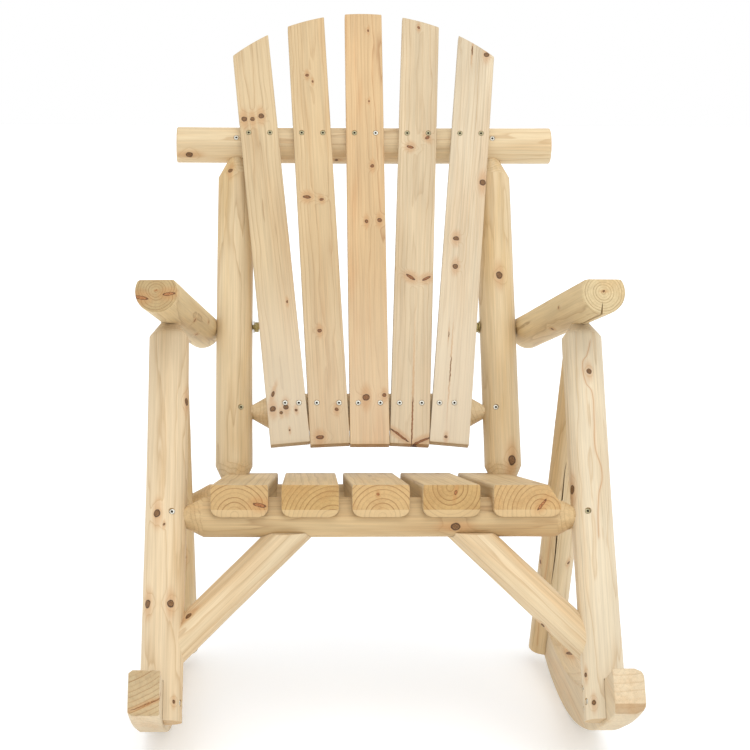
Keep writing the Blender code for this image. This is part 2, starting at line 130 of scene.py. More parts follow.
def pole_frame(start, end, facing):
    """Local Z runs from start to end, and local X is as near to facing as it can be."""
    z = (end - start).normalized()
    x = (facing - z * facing.dot(z)).normalized()
    return axes(start, x, z.cross(x), z)


# ---- shader building
def linear(red, green, blue):
    """Scene-linear colour of an 8-bit one."""
    values = [part / 255 for part in (red, green, blue)]
    return (*[v / 12.92 if v <= 0.04045 else ((v + 0.055) / 1.055) ** 2.4 for v in values], 1.0)


class Net:
    """Short ways to add and join shader nodes."""

    def __init__(self, tree):
        self.tree = tree

    def plug(self, socket, value):
        if isinstance(value, bpy.types.NodeSocket):
            self.tree.links.new(value, socket)
        else:
            socket.default_value = value

    def add(self, kind, **settings):
        node = self.tree.nodes.new(kind)
        for name, value in settings.items():
            setattr(node, name, value)
        return node

    def math(self, operation, *values, clamp=False):
        node = self.add("ShaderNodeMath", operation=operation, use_clamp=clamp)
        for socket, value in zip(node.inputs, values):
            self.plug(socket, value)
        return node.outputs[0]

    def times(self, first, second, clamp=False):
        return self.math("MULTIPLY", first, second, clamp=clamp)

    def minus(self, first, second):
        return self.math("SUBTRACT", first, second)

    def scale(self, value, factor, base):
        """value * factor + base."""
        return self.math("MULTIPLY_ADD", value, factor, base)

    def absolute(self, value):
        return self.math("ABSOLUTE", value)

    def fill(self, node, values):
        for label, value in values.items():
            self.plug(node.inputs[label], value)

    def separate(self, vector):
        node = self.add("ShaderNodeSeparateXYZ")
        self.plug(node.inputs[0], vector)
        return node.outputs

    def vector(self, operation, *values):
        node = self.add("ShaderNodeVectorMath", operation=operation)
        for socket, value in zip(node.inputs, values):
            self.plug(socket, value)
        return node.outputs["Value"] if operation in ("LENGTH", "DOT_PRODUCT") else node.outputs[0]

    def noise(self, position, stretch, offset, detail=2.0, rough=0.5):
        """Noise whose cells are 1/stretch metres along each axis."""
        shifted = self.vector("MULTIPLY_ADD", position, stretch, offset)
        node = self.add("ShaderNodeTexNoise")
        self.fill(node, {"Vector": shifted, "Scale": 1.0, "Detail": detail, "Roughness": rough})
        return node.outputs["Fac"]

    def step(self, value, low, high, to_low=0.0, to_high=1.0):
        node = self.add("ShaderNodeMapRange", interpolation_type="SMOOTHSTEP")
        for socket, number in zip(node.inputs, (value, low, high, to_low, to_high)):
            self.plug(socket, number)
        return node.outputs[0]

    def mix(self, factor, first, second, blend="MIX"):
        node = self.add("ShaderNodeMix", data_type="RGBA", blend_type=blend)
        self.plug(node.inputs[0], factor)
        self.plug(node.inputs[6], first)
        self.plug(node.inputs[7], second)
        return node.outputs[2]


def new_group(name, inputs, outputs):
    tree = bpy.data.node_groups.new(name, "ShaderNodeTree")
    for label, kind in inputs:
        tree.interface.new_socket(label, in_out="INPUT", socket_type="NodeSocket" + kind)
    for label, kind in outputs:
        tree.interface.new_socket(label, in_out="OUTPUT", socket_type="NodeSocket" + kind)
    net = Net(tree)
    return tree, net, net.add("NodeGroupInput").outputs, net.add("NodeGroupOutput").inputs


KNOT_MARKS = ("Core", "Rim", "Halo", "Bulge")


def knot_group():
    """Adds one knot to those so far. Its axis is its local Y, within 1 of its centre, and its outline
    the unit circle in XZ."""
    marks = [(label, "Float") for label in KNOT_MARKS]
    inputs = [("Position", "Vector"), ("Centre", "Vector"), ("Turn", "Vector"), ("Size", "Vector")]
    inputs += [("One sided", "Float"), ("Push", "Float"), *marks]
    tree, net, given, made = new_group("fir_knot", inputs, marks)
    mapping = net.add("ShaderNodeMapping", vector_type="TEXTURE")
    for socket, label in zip(mapping.inputs, ("Position", "Centre", "Turn", "Size")):
        net.plug(socket, given[label])
    local = mapping.outputs[0]
    flat = net.vector("MULTIPLY", local, (1.0, 0.0, 1.0))
    away = net.vector("LENGTH", flat)
    depth = net.separate(local)[1]
    behind = net.math("LESS_THAN", depth, 0.0)
    side = net.minus(1.0, net.times(behind, given["One sided"]))
    side = net.times(side, net.step(net.absolute(depth), 1.05, 0.95))
    core = net.times(net.step(away, 1.06, 0.90), side)
    rim = net.times(net.step(net.absolute(net.minus(away, 1.0)), 0.26, 0.05), side)
    long = net.vector("LENGTH", net.vector("MULTIPLY", local, (1.0, 0.0, 0.4)))
    halo = net.times(net.step(long, 2.7, 0.7), side)
    spread = net.times(net.times(away, away), -0.16)
    bulge = net.times(net.times(net.math("EXPONENT", spread), given["Push"]), side)
    for label, mark in (("Core", core), ("Rim", rim), ("Halo", halo)):
        net.plug(made[label], net.math("MAXIMUM", mark, given[label]))
    net.plug(made["Bulge"], net.math("ADD", bulge, given["Bulge"]))
    return tree


def wood_group():
    """Solid fir: growth rings round a pith along Z, fibres, warm patches, end grain and knots, with painted
    light towards the foot.
    """
    inputs = [
        ("Position", "Vector"), ("Seed", "Vector"), ("Pith", "Vector"), ("Spacing", "Float"),
        ("Wave", "Float"), ("Contrast", "Float"), ("Light", "Color"), ("Dark", "Color"),
        ("Warm", "Color"), ("Warmth", "Float"), ("End", "Color"), ("Band", "Float"),
        ("Band colour", "Color"), ("Knot", "Color"), ("Painted foot light", "Float"), ("Resin", "Float"),
        *((label, "Float") for label in KNOT_MARKS),
    ]
    outputs = [("Colour", "Color"), ("Roughness", "Float"), ("Height", "Float")]
    tree, net, given, made = new_group("fir_wood", inputs, outputs)
    position, seed = given["Position"], given["Seed"]
    facing = net.separate(net.add("ShaderNodeTexCoord").outputs["Normal"])[2]
    end = net.step(net.absolute(facing), 0.52, 0.78)

    broad = net.minus(net.noise(position, (19, 19, 1.7), seed, 1.5), 0.5)
    broad = net.times(broad, given["Wave"])
    broad = net.times(broad, net.minus(1.0, net.times(end, 0.75)))
    small = net.minus(net.noise(position, (70, 70, 9), seed), 0.5)
    small = net.times(small, net.scale(end, -0.0018, 0.0032))
    flat = net.vector("MULTIPLY", net.vector("SUBTRACT", position, given["Pith"]), (1, 1, 0))
    across = net.vector("LENGTH", flat)
    field = net.math("ADD", net.math("ADD", across, broad), net.math("ADD", small, given["Bulge"]))
    turns = net.math("DIVIDE", field, given["Spacing"])
    part = net.math("FRACT", turns)
    late = net.times(net.math("POWER", part, 8.0), net.step(part, 1.0, 0.93))
    which = net.add("ShaderNodeTexWhiteNoise", noise_dimensions="1D")
    net.plug(which.inputs["W"], net.math("FLOOR", turns))
    late = net.times(late, net.scale(which.outputs["Value"], 1.1, 0.35))
    late = net.times(late, net.scale(end, 0.9, 1.0))
    late = net.times(late, given["Contrast"], clamp=True)
    fibre = net.noise(position, (820, 820, 15), seed, 3.0, 0.65)
    streak = net.noise(position, (240, 240, 3.4), seed, 3.0, 0.6)
    patch = net.noise(position, (30, 30, 3.2), seed, 3.0, 0.6)
    cloud = net.noise(position, (11, 11, 5), seed, 2.0, 0.5)
    hair = net.absolute(net.minus(net.noise(position, (230, 230, 1.6), seed, 3.0, 0.6), 0.5))
    hair = net.times(net.step(hair, 0.020, 0.004), net.step(patch, 0.42, 0.58))

    colour = net.mix(late, given["Light"], given["Dark"])
    warm = net.times(net.step(patch, 0.40, 0.72), given["Warmth"])
    colour = net.mix(warm, colour, given["Warm"])
    shade = net.scale(fibre, 0.40, 0.80)
    shade = net.times(shade, net.scale(hair, -0.15, 1.01))
    shade = net.times(shade, net.step(streak, 0.30, 0.62, 0.91, 1.02))
    shade = net.times(shade, net.step(cloud, 0.30, 0.65, 0.93, 1.04))
    tone = net.add("ShaderNodeCombineColor")
    for socket in tone.inputs:
        net.plug(socket, shade)
    colour = net.mix(1.0, colour, tone.outputs[0], "MULTIPLY")
    colour = net.mix(end, colour, net.mix(1.0, colour, given["End"], "MULTIPLY"))
    place = net.separate(position)
    # Painted light: the piece is paler towards its foot, below 0.34 up its local Z, lifting the shade that
    # falls at the foot of the back slats.
    bleach = net.times(net.step(place[2], 0.34, 0.04), given["Painted foot light"])
    colour = net.mix(bleach, colour, linear(218, 206, 184))
    band = net.times(net.math("GREATER_THAN", place[1], given["Band"]), end)
    colour = net.mix(net.times(band, 0.5), colour, given["Band colour"])
    colour = net.mix(net.times(given["Resin"], 0.55), colour, linear(176, 116, 62))
    colour = net.mix(net.times(given["Halo"], 0.42), colour, linear(182, 124, 68))
    grain = net.noise(position, (900, 900, 900), seed, 2.0)
    dark_knot = net.mix(1.0, given["Knot"], linear(170, 150, 132), "MULTIPLY")
    knot = net.mix(net.step(grain, 0.35, 0.65), dark_knot, given["Knot"])
    colour = net.mix(net.times(given["Core"], 0.93), colour, knot)
    outline = net.mix(1.0, given["Knot"], linear(112, 92, 84), "MULTIPLY")
    colour = net.mix(net.times(given["Rim"], 0.85), colour, outline)
    net.plug(made["Colour"], colour)
    rough = net.scale(fibre, 0.20, 0.50)
    net.plug(made["Roughness"], net.minus(rough, net.times(late, 0.10)))
    height = net.math("ADD", net.times(fibre, 0.5), net.times(late, 0.5))
    net.plug(made["Height"], net.math("ADD", height, net.times(given["Core"], 0.6)))
    return tree


KNOT = knot_group()
WOOD = wood_group()
SHADER = "Principled BSDF"


def new_material(name):
    material = bpy.data.materials.new(name)
    material.use_nodes = True
    return material, Net(material.node_tree), material.node_tree.nodes[SHADER]


def add_bump(net, shader, strength, distance, height):
    bump = net.add("ShaderNodeBump")
    net.fill(bump, {"Strength": strength, "Distance": distance, "Height": height})
    net.plug(shader.inputs["Normal"], bump.outputs[0])


def resin_line(net, position, path, reach):
    """Mask of a thin line down a pole. path lists (height, degrees) and is followed smoothly."""
    low, high = path[0][0], path[-1][0]
    parts = net.separate(position)
    curve = net.add("ShaderNodeFloatCurve")
    points = curve.mapping.curves[0].points
    for number, (height, degrees) in enumerate(path):
        spot = ((height - low) / (high - low), (degrees + 90) / 180)
        if number < 2:
            points[number].location = spot
        else:
            points.new(*spot)
    curve.mapping.update()
    along = net.math("DIVIDE", net.minus(parts[2], low), high - low, clamp=True)
    net.plug(curve.inputs["Value"], along)
    aim = net.times(net.minus(curve.outputs[0], 0.5), math.pi)
    round_pole = net.math("ARCTAN2", parts[1], parts[0])
    away = net.times(net.absolute(net.minus(round_pole, aim)), reach)
    stain = net.times(net.step(away, 0.004, 0.0), 0.4)
    line = net.math("MAXIMUM", net.step(away, 0.0011, 0.0004), stain)
    begins = net.step(parts[2], low, low + 0.01)
    stops = net.step(parts[2], high, high - 0.01)
    return net.times(line, net.times(begins, stops))


def carry_marks(net, giver, taker):
    """Hand the marks of the knots so far to the next node, if there are any."""
    for label in KNOT_MARKS:
        if giver is not None:
            net.plug(taker.inputs[label], giver.outputs[label])


def fir(name, light, dark, warm, warmth=0.5, contrast=0.8, spacing=0.0030, wave=0.020, pith=(0, 0, 0),
        end=(236, 220, 194), band=1.0, band_colour=(216, 190, 146), knot=(132, 94, 54), bleach=0.0,
        resin=None, seed=0, knots=()):
    """Fir material. Each knot is (centre, turn, size, one sided, push)."""
    material, net, shader = new_material(name)
    position = net.add("ShaderNodeTexCoord").outputs["Object"]
    offset = (seed * 3.71 + 1.3, seed * 1.93 + 4.1, seed * 5.17 + 0.7)
    warp = net.add("ShaderNodeTexNoise")
    net.fill(warp, {"Vector": position, "Scale": 160.0})
    shift = net.vector("SUBTRACT", warp.outputs["Color"], (0.5, 0.5, 0.5))
    bent = net.vector("MULTIPLY_ADD", shift, (0.0026, 0.0026, 0.0026), position)
    wood = net.add("ShaderNodeGroup", node_tree=WOOD)
    last = None
    for centre, turn, size, one_sided, push in knots:
        node = net.add("ShaderNodeGroup", node_tree=KNOT)
        net.fill(node, {
            "Position": bent, "Centre": centre, "Turn": turn, "Size": size, "One sided": one_sided,
            "Push": push,
        })
        carry_marks(net, last, node)
        last = node
    carry_marks(net, last, wood)
    net.fill(wood, {
        "Position": position, "Seed": offset, "Pith": pith, "Spacing": spacing, "Wave": wave,
        "Contrast": contrast, "Light": linear(*light), "Dark": linear(*dark), "Warm": linear(*warm),
        "Warmth": warmth, "End": linear(*end), "Band": band, "Band colour": linear(*band_colour),
        "Knot": linear(*knot), "Painted foot light": bleach,
    })
    if resin:
        net.plug(wood.inputs["Resin"], resin_line(net, position, resin, LOG_RADIUS))
    net.fill(shader, {
        "Base Color": wood.outputs["Colour"], "Roughness": wood.outputs["Roughness"],
        "Specular IOR Level": 0.35,
    })
    add_bump(net, shader, 0.35, 0.0004, wood.outputs["Height"])
    return material


def zinc(name, colour, rough, recess=0.0):
    """Zinc plate, worn; within recess of its axis it is darkened, partly dirt and partly painted shade in the
    cross recess.
    """
    material, net, shader = new_material(name)
    position = net.add("ShaderNodeTexCoord").outputs["Object"]
    cloud = net.noise(position, (900, 900, 900), (3.1, 1.7, 5.9), 4.0, 0.6)
    worn = net.mix(net.step(cloud, 0.35, 0.70), linear(*[0.72 * part for part in colour]), linear(*colour))
    if recess:
        # Painted shade, with some dirt: the head is darkened within recess of its axis, where the cross
        # recess lies in shade.
        away = net.vector("LENGTH", net.vector("MULTIPLY", position, (1, 1, 0)))
        worn = net.mix(net.step(away, 1.15 * recess, 0.75 * recess), worn, linear(58, 50, 36))
    net.fill(shader, {"Base Color": worn, "Roughness": net.scale(cloud, 0.30, rough), "Metallic": 0.9})
    add_bump(net, shader, 0.25, 0.0001, cloud)
    return material


# ---- mesh building
SHARP = math.radians(38)
cutters = bpy.data.collections.new("cutters")
scene.collection.children.link(cutters)


def to_mesh(name, shape):
    bmesh.ops.recalc_face_normals(shape, faces=shape.faces)
    mesh = bpy.data.meshes.new(name)
    shape.to_mesh(mesh)
    shape.free()
    return mesh


def lathe(name, profile, sides, radius_of=None, centre_of=None):
    """Closed solid round local Z. radius_of(radius, angle, height) may reshape each ring."""
    shape = bmesh.new()
    rings = []
    for height, radius in profile:
        off = centre_of(height) if centre_of else Vector((0, 0))
        ring = []
        for step in range(sides):
            angle = math.tau * step / sides
            reach = radius_of(radius, angle, height) if radius_of else radius
            across = (off.x + reach * math.cos(angle), off.y + reach * math.sin(angle))
            ring.append(shape.verts.new((*across, height)))
        rings.append(ring)
    for low, high in zip(rings, rings[1:]):
        for step in range(sides):
            after = (step + 1) % sides
            shape.faces.new((low[step], low[after], high[after], high[step]))
    for ring, height in ((rings[0], profile[0][0]), (rings[-1], profile[-1][0])):
        hub = sum((vert.co for vert in ring), Vector()) / sides
        hub = shape.verts.new((hub.x, hub.y, height))
        for step in range(sides):
            shape.faces.new((ring[step], ring[(step + 1) % sides], hub))
    return to_mesh(name, shape)


def fine(profile, step, ease):
    """The profile with rounded ends and a point at least every step along it."""
    (first, first_r), (last, last_r) = profile[0], profile[-1]
    points = [(first, first_r - ease), (first + 0.3 * ease, first_r - 0.35 * ease), (first + ease, first_r)]
    points += profile[1:-1]
    points += [(last - ease, last_r), (last - 0.3 * ease, last_r - 0.35 * ease), (last, last_r - ease)]
    dense = [points[0]]
    for (z0, r0), (z1, r1) in zip(points, points[1:]):
        count = max(1, math.ceil((z1 - z0) / step))
        dense += [(z0 + (z1 - z0) * k / count, r0 + (r1 - r0) * k / count) for k in range(1, count + 1)]
    return dense


def wood_radius(full, seed, knots, flats):
    """How a peeled pole differs from a cylinder: slow swells, tool marks, knots and planed flats."""
    def radius_of(radius, angle, height):
        share = radius / full
        x, y = math.cos(angle), math.sin(angle)
        swell = noise.noise(Vector((x * 0.9, y * 0.9, height * 4.5 + seed * 7.7)))
        ripple = noise.noise(Vector((x * 3.1, y * 3.1, height * 26 + seed * 3.3)))
        reach = radius + share * (0.00055 * swell + 0.00022 * ripple)
        for knot_height, knot_angle, knot_radius in knots:
            turn = (angle - knot_angle + math.pi) % math.tau - math.pi
            away = math.hypot(height - knot_height, radius * turn) / (1.8 * knot_radius)
            if away < 3:
                reach += 0.0006 * math.exp(-away * away)
        for flat_angle, flat_reach in flats:
            facing = math.cos(angle - flat_angle)
            if facing > 0.05:
                reach = min(reach, flat_reach / facing)
        return reach
    return radius_of


def block_grid(name, counts, place):
    """The surface of a box of cells, with each corner where place says for three shares from 0 to 1."""
    shape = bmesh.new()
    n, m, l = counts
    verts = {}

    def vert(i, j, k):
        if (i, j, k) not in verts:
            verts[i, j, k] = shape.verts.new(place(i / n, j / m, k / l))
        return verts[i, j, k]

    def face(*corners):
        shape.faces.new([vert(*corner) for corner in corners])

    for i in range(n):
        for j in range(m):
            for k in (0, l):
                face((i, j, k), (i + 1, j, k), (i + 1, j + 1, k), (i, j + 1, k))
    for i in range(n):
        for k in range(l):
            for j in (0, m):
                face((i, j, k), (i + 1, j, k), (i + 1, j, k + 1), (i, j, k + 1))
    for j in range(m):
        for k in range(l):
            for i in (0, n):
                face((i, j, k), (i, j + 1, k), (i, j + 1, k + 1), (i, j, k + 1))
    return to_mesh(name, shape)


def applied(piece):
    """The mesh of a piece with its modifiers applied."""
    view = bpy.context.evaluated_depsgraph_get()
    return bpy.data.meshes.new_from_object(piece.evaluated_get(view), depsgraph=view)


def smooth(mesh):
    mesh.shade_smooth()
    mesh.set_sharp_from_angle(angle=SHARP)


def hand_over(piece, nodes):
    """Set a piece on the frame's root body and hide the CAD nodes it stands for."""
    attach(piece, "root")
    if nodes:
        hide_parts(*nodes)


def cutter(name, mesh, place):
    piece = bpy.data.objects.new(name, mesh)
    cutters.objects.link(piece)
    piece.matrix_world = DESIGN @ place
    piece.hide_render = True
    return piece


def room(name, place, profile, sides=40, grow=GAP):
    """Cutter that makes room for a turned solid."""
    wider = [(height, radius + grow) for height, radius in profile]
    wider[0] = (wider[0][0] - grow, wider[0][1])
    wider[-1] = (wider[-1][0] + grow, wider[-1][1])
    return cutter(name, lathe(name, wider, sides), place)


def add_piece(name, mesh, place, material, nodes, cuts=(), bevel=0.0):
    """Cut and finish a mesh, and set it on the frame in place of its CAD nodes."""
    piece = bpy.data.objects.new(name, mesh)
    scene.collection.objects.link(piece)
    piece.matrix_world = DESIGN @ place
    mesh.materials.append(material)
    if bevel:
        edge = piece.modifiers.new("Edges", "BEVEL")
        edge.width = bevel
        edge.segments = 2
        edge.limit_method = "ANGLE"
        edge.angle_limit = math.radians(50)
    for number, shape in enumerate(cuts):
        hole = piece.modifiers.new("Cut %d" % number, "BOOLEAN")
        hole.solver = "MANIFOLD"
        hole.object = shape
    if bevel or cuts:
        done = applied(piece)
        piece.modifiers.clear()
        piece.data = done
        done.name = name
    smooth(piece.data)
    hand_over(piece, nodes)


# ---- poles
FRONT = Vector((0, -1, 0))
UP = Vector((0, 0, 1))
POLE_SIDES = 64
POLE_STEP = 0.006
EASE = 0.0022
KNOT_TALLNESS = 1.15


def side_knot(height, angle, radius):
    """A knot on a pole, angle round from the side that local X faces."""
    return ((0, 0, height), (0, 0, angle - math.pi / 2), (radius, 1.0, radius * KNOT_TALLNESS), 1.0, 0.0045)


def pole(name, start, end, facing, profile, wood, knots, flats, bend, cuts, seed):
    """A peeled pole with its material."""
    place = pole_frame(start, end, facing)
    full = max(radius for _, radius in profile)
    length = profile[-1][0] - profile[0][0]
    bumps = [(height / 1000, math.radians(degrees), radius / 1000) for height, degrees, radius in knots]

    def centre_of(height):
        return Vector((0, bend * math.sin(math.pi * (height - profile[0][0]) / length)))

    mesh = lathe(
        name, fine(profile, POLE_STEP, EASE), POLE_SIDES, wood_radius(full, seed, bumps, flats), centre_of
    )
    marks = [side_knot(*knot) for knot in bumps] + BRANCHES.get(name, [])
    material = fir(name, seed=seed, knots=marks, resin=RESIN_PATHS.get(name), **wood)
    add_piece(name, mesh, place, material, [name], cuts)


def v3(x, point):
    return Vector((x, *point))


def look(light, dark, warm, warmth, **more):
    return dict(light=light, dark=dark, warm=warm, warmth=warmth, **more)


LEG_LOOK = look((213, 191, 156), (176, 142, 98), (210, 178, 132), 0.5)
PALE_LEG_LOOK = look((217, 201, 172), (186, 154, 112), (214, 188, 148), 0.45)
POST_LOOK = look((211, 190, 153), (166, 132, 90), (203, 168, 112), 0.6)
RAIL_LOOK = look((219, 198, 160), (178, 142, 98), (206, 171, 124), 0.6)
# Painted shade: the seat rails are coloured darker than the other rails, for the shade that falls on them
# under the seat.
SHADED_SEAT_RAIL_LOOK = look((203, 175, 130), (158, 121, 76), (188, 148, 98), 0.6)
ARM_LOOK = look(
    (214, 192, 149), (150, 114, 70), (198, 164, 114), 0.5, end=(255, 252, 246),
    spacing=0.0036, contrast=0.75,
)
BRACE_LOOK = look((216, 195, 159), (176, 140, 96), (204, 168, 120), 0.55)

back_up = (TOP_RAIL_AXIS - POST_BASE).normalized()
BACK_UP = v3(0, back_up)
BACK_FRONT = Vector((0, -BACK_UP.z, BACK_UP.y))
BACK_ORIGIN = v3(0, POST_BASE) + BACK_UP * LOWER_RAIL_HEIGHT
POST_REACH = (TOP_RAIL_AXIS - POST_BASE).length
BACK_REACH = POST_REACH - LOWER_RAIL_HEIGHT


def back_point(across, height, proud):
    return BACK_ORIGIN + Vector((across, 0, 0)) + BACK_UP * height + BACK_FRONT * proud


def slat_line(place, height):
    return place * SLAT_PITCH + math.tan(place * SLAT_FAN) * (height + SLAT_DROP)


# ---- fasteners
ZINC = zinc("zinc_plate", (232, 229, 216), 0.30, 0.0017)
DULL = zinc("dull_zinc", (196, 186, 150), 0.40, 0.0016)
BRASS = zinc("yellow_zinc", (196, 178, 120), 0.32)
DULL_SCREWS = (
    "front_rail_screw_right", "lower_rail_screw_left", "seat_screw", "slat_screw_upper_1",
    "slat_screw_upper_2", "slat_screw_upper_3a", "slat_screw_upper_4", "slat_screw_upper_5",
)
SCREW_SIDES = 24
SUNK = 0.0004
DEEP = 0.0016
THREAD_PITCH = 0.0026
screw_meshes = {}


def screw_mesh(length, metal):
    """Countersunk wood screw with a cross recess, its head's top at the origin and its point along Z."""
    if (length, metal) in screw_meshes:
        return screw_meshes[length, metal]
    profile = [(0.0, SCREW_HEAD - 0.0005), (0.0002, SCREW_HEAD - 0.0001), (0.0005, SCREW_HEAD)]
    profile += [(0.0009, SCREW_HEAD), (0.0032, 0.0019), (0.0060, 0.0018)]
    height = 0.0060
    while height < length - 0.006:
        height += THREAD_PITCH / 4
        profile.append((height, 0.0016))
    profile += [(length - 0.003, 0.0010), (length, 0.0002)]

    def thread(radius, angle, height):
        if height <= 0.0062 or height > length - 0.004:
            return radius
        phase = (height / THREAD_PITCH - angle / math.tau) % 1.0
        return radius + 0.0004 * max(0.0, 1 - abs(phase - 0.5) * 4)

    mesh = lathe("wood_screw", profile, SCREW_SIDES, thread)
    body = bpy.data.objects.new("screw_blank", mesh)
    cutters.objects.link(body)
    for turn in (0, 90):
        cross = bmesh.new()
        arm = bmesh.ops.create_cone(
            cross, cap_ends=True, segments=4, radius1=0.0034, radius2=0.0014, depth=0.0040
        )
        stretch = Matrix.Rotation(math.radians(turn), 4, "Z") @ Matrix.Diagonal((1, 0.36, 1, 1))
        stretch = Matrix.Translation((0, 0, 0.0007)) @ stretch @ Matrix.Rotation(math.radians(45), 4, "Z")
        bmesh.ops.transform(cross, matrix=stretch, verts=arm["verts"])
        tool = bpy.data.objects.new("cross_arm", to_mesh("cross_arm", cross))
        cutters.objects.link(tool)
        cut = body.modifiers.new("Arm", "BOOLEAN")
        cut.object = tool
    done = applied(body)
    done.materials.clear()
    done.materials.append(metal)
    smooth(done)
    screw_meshes[length, metal] = done
    return done


def screw_frame(point, inward):
    return Matrix.Translation(point) @ inward.to_track_quat("Z", "Y").to_matrix().to_4x4()


def screw_holes(name, spots, sunk):
    """One cutter for several countersunk screws, given as (point, inward)."""
    wide = SCREW_HEAD + 0.0007
    profile = [(-0.004, wide), (sunk, wide), (sunk + 0.0006, SCREW_HEAD + 0.0003)]
    profile += [(sunk + 0.0040, 0.0022), (0.012, 0.0022)]
    shape = bmesh.new()
    for point, inward in spots:
        one = lathe("screw_hole", profile, 20)
        one.transform(screw_frame(point, inward))
        shape.from_mesh(one)
        bpy.data.meshes.remove(one)
    mesh = bpy.data.meshes.new(name)
    shape.to_mesh(mesh)
    shape.free()
    return cutter(name, mesh, Matrix.Identity(4))


def add_screw(name, point, inward, length, turn, nodes, sunk):
    place = screw_frame(point + inward * sunk, inward)
    metal = DULL if name.startswith(DULL_SCREWS) else ZINC
    screw = bpy.data.objects.new(name, screw_mesh(length, metal))
    scene.collection.objects.link(screw)
    screw.matrix_world = DESIGN @ place @ Matrix.Rotation(turn, 4, "Z")
    hand_over(screw, nodes)


# ---- pole layout (design frame)
FRONT_FOOT, FRONT_HEAD = Vector((-0.2578, 0.0)), Vector((-0.0339, 0.5764))
REAR_FOOT, REAR_HEAD = Vector((0.375, 0.004)), Vector((-0.0499, 0.515))
LEG_UP = v3(0, (FRONT_HEAD - FRONT_FOOT).normalized())
LEG_FRONT = Vector((0, -LEG_UP.z, LEG_UP.y))
LEG_LENGTH = (FRONT_HEAD - FRONT_FOOT).length
REAR_LENGTH = (REAR_HEAD - REAR_FOOT).length
ARM_FRONT_END, ARM_BACK_END = (0.297, -0.170, 0.597), (0.2515, 0.265, 0.563)
ARM_FRONT_RADIUS = {"left": 0.0288, "right": 0.0298}
BRACE_FOOT, BRACE_TOP = (0.2840, -0.2053, 0.1197), (0.0998, -0.1354, 0.2946)
BRACE_TOP_CUT = 0.2805
LEG_PROFILE = [
    (0.0, LOG_RADIUS), (LEG_LENGTH - 0.040, LOG_RADIUS), (LEG_LENGTH - 0.018, 0.012), (LEG_LENGTH, 0.012)
]
REAR_PROFILE = [(0.0, REAR_LEG_RADIUS), (REAR_LENGTH, REAR_LEG_RADIUS)]


def rail_profile(half, tenon, cone, tenon_radius, radius):
    return [
        (0.0, tenon_radius), (tenon, tenon_radius), (tenon + cone, radius),
        (2 * half - tenon - cone, radius), (2 * half - tenon, tenon_radius), (2 * half, tenon_radius),
    ]


FRONT_HALF = LEG_X - LOG_RADIUS + 0.022
REAR_HALF = LEG_X - REAR_LEG_RADIUS + 0.022
LOWER_HALF = POST_X - LOG_RADIUS + 0.018
TOP_HALF = 0.294
FRONT_RAIL_PROFILE = rail_profile(FRONT_HALF, 0.022, 0.024, 0.0145, FRONT_RAIL_RADIUS)
REAR_RAIL_PROFILE = rail_profile(REAR_HALF, 0.022, 0.024, 0.0145, REAR_RAIL_RADIUS)
LOWER_RAIL_PROFILE = rail_profile(LOWER_HALF, 0.018, 0.030, 0.011, BACK_RAIL_RADIUS)
TOP_RAIL_PROFILE = [(0.0, BACK_RAIL_RADIUS), (2 * TOP_HALF, BACK_RAIL_RADIUS)]
POST_FOOT = 0.046
POST_PROFILE = [
    (0.0, 0.014), (0.028, 0.014), (0.058, LOG_RADIUS), (POST_FOOT + POST_REACH - 0.058, LOG_RADIUS),
    (POST_FOOT + POST_REACH - 0.022, 0.010), (POST_FOOT + POST_REACH + 0.004, 0.010),
]


def ends(side, first, last):
    """Start and end of a pole, given on the right side, mirrored for the left."""
    return Vector((side * first[0], *first[1:])), Vector((side * last[0], *last[1:]))


def rail_ends(half, axis):
    return Vector((-half, *axis)), Vector((half, *axis))


lower_axis = BACK_ORIGIN.yz
POLES = {
    "seat_front_rail": (*rail_ends(FRONT_HALF, FRONT_RAIL_AXIS), FRONT, FRONT_RAIL_PROFILE),
    "seat_rear_rail": (*rail_ends(REAR_HALF, REAR_RAIL_AXIS), FRONT, REAR_RAIL_PROFILE),
    "top_rail": (*rail_ends(TOP_HALF, TOP_RAIL_AXIS), FRONT, TOP_RAIL_PROFILE),
    "lower_back_rail": (*rail_ends(LOWER_HALF, lower_axis), FRONT, LOWER_RAIL_PROFILE),
}
for label, side in SIDES.items():
    leg_ends = ends(side, (LEG_X, *FRONT_FOOT), (LEG_X, *FRONT_HEAD))
    POLES["front_leg_" + label] = (*leg_ends, FRONT, LEG_PROFILE)
    leg_ends = ends(side, (LEG_X, *REAR_FOOT), (LEG_X, *REAR_HEAD))
    POLES["rear_leg_" + label] = (*leg_ends, FRONT, REAR_PROFILE)
    arm_start, arm_end = ends(side, ARM_FRONT_END, ARM_BACK_END)
    arm_profile = [(0.0, ARM_FRONT_RADIUS[label]), ((arm_end - arm_start).length, LOG_RADIUS)]
    POLES["armrest_" + label] = (arm_start, arm_end, UP, arm_profile)
    post_start = v3(side * POST_X, POST_BASE) - BACK_UP * POST_FOOT
    POLES["back_post_" + label] = (post_start, post_start + BACK_UP, FRONT, POST_PROFILE)
    brace_start, brace_end = ends(side, BRACE_FOOT, BRACE_TOP)
    brace_profile = [(0.0, BRACE_RADIUS), ((brace_end - brace_start).length, BRACE_RADIUS)]
    POLES["brace_" + label] = (brace_start, brace_end, FRONT, brace_profile)

ROOMS = {}
for name in POLES:
    if not name.startswith(("armrest", "brace", "rear_leg", "top")):
        start, end, facing, profile = POLES[name]
        ROOMS[name] = room(name + "_room", pole_frame(start, end, facing), profile)


# ---- rockers
LEAN = math.radians(9.5)
ROCKER_FIRST = LEAN - math.radians(31.25)
ROCKER_LAST = LEAN + math.radians(16.25)
ROUNDING = {"left": 0.005, "right": 0.012}
END_CHAMFER = 0.0035


def rocker_place(side):
    """Local Z runs level from front to back as the chair stands, and X away from its middle plane."""
    origin = Vector((side * ROCKER_INNER_X, 0, 0))
    x = Vector((side, 0, 0))
    z = Vector((0, 1, 0))
    return DESIGN.inverted() @ axes(origin, x, z.cross(x), z)


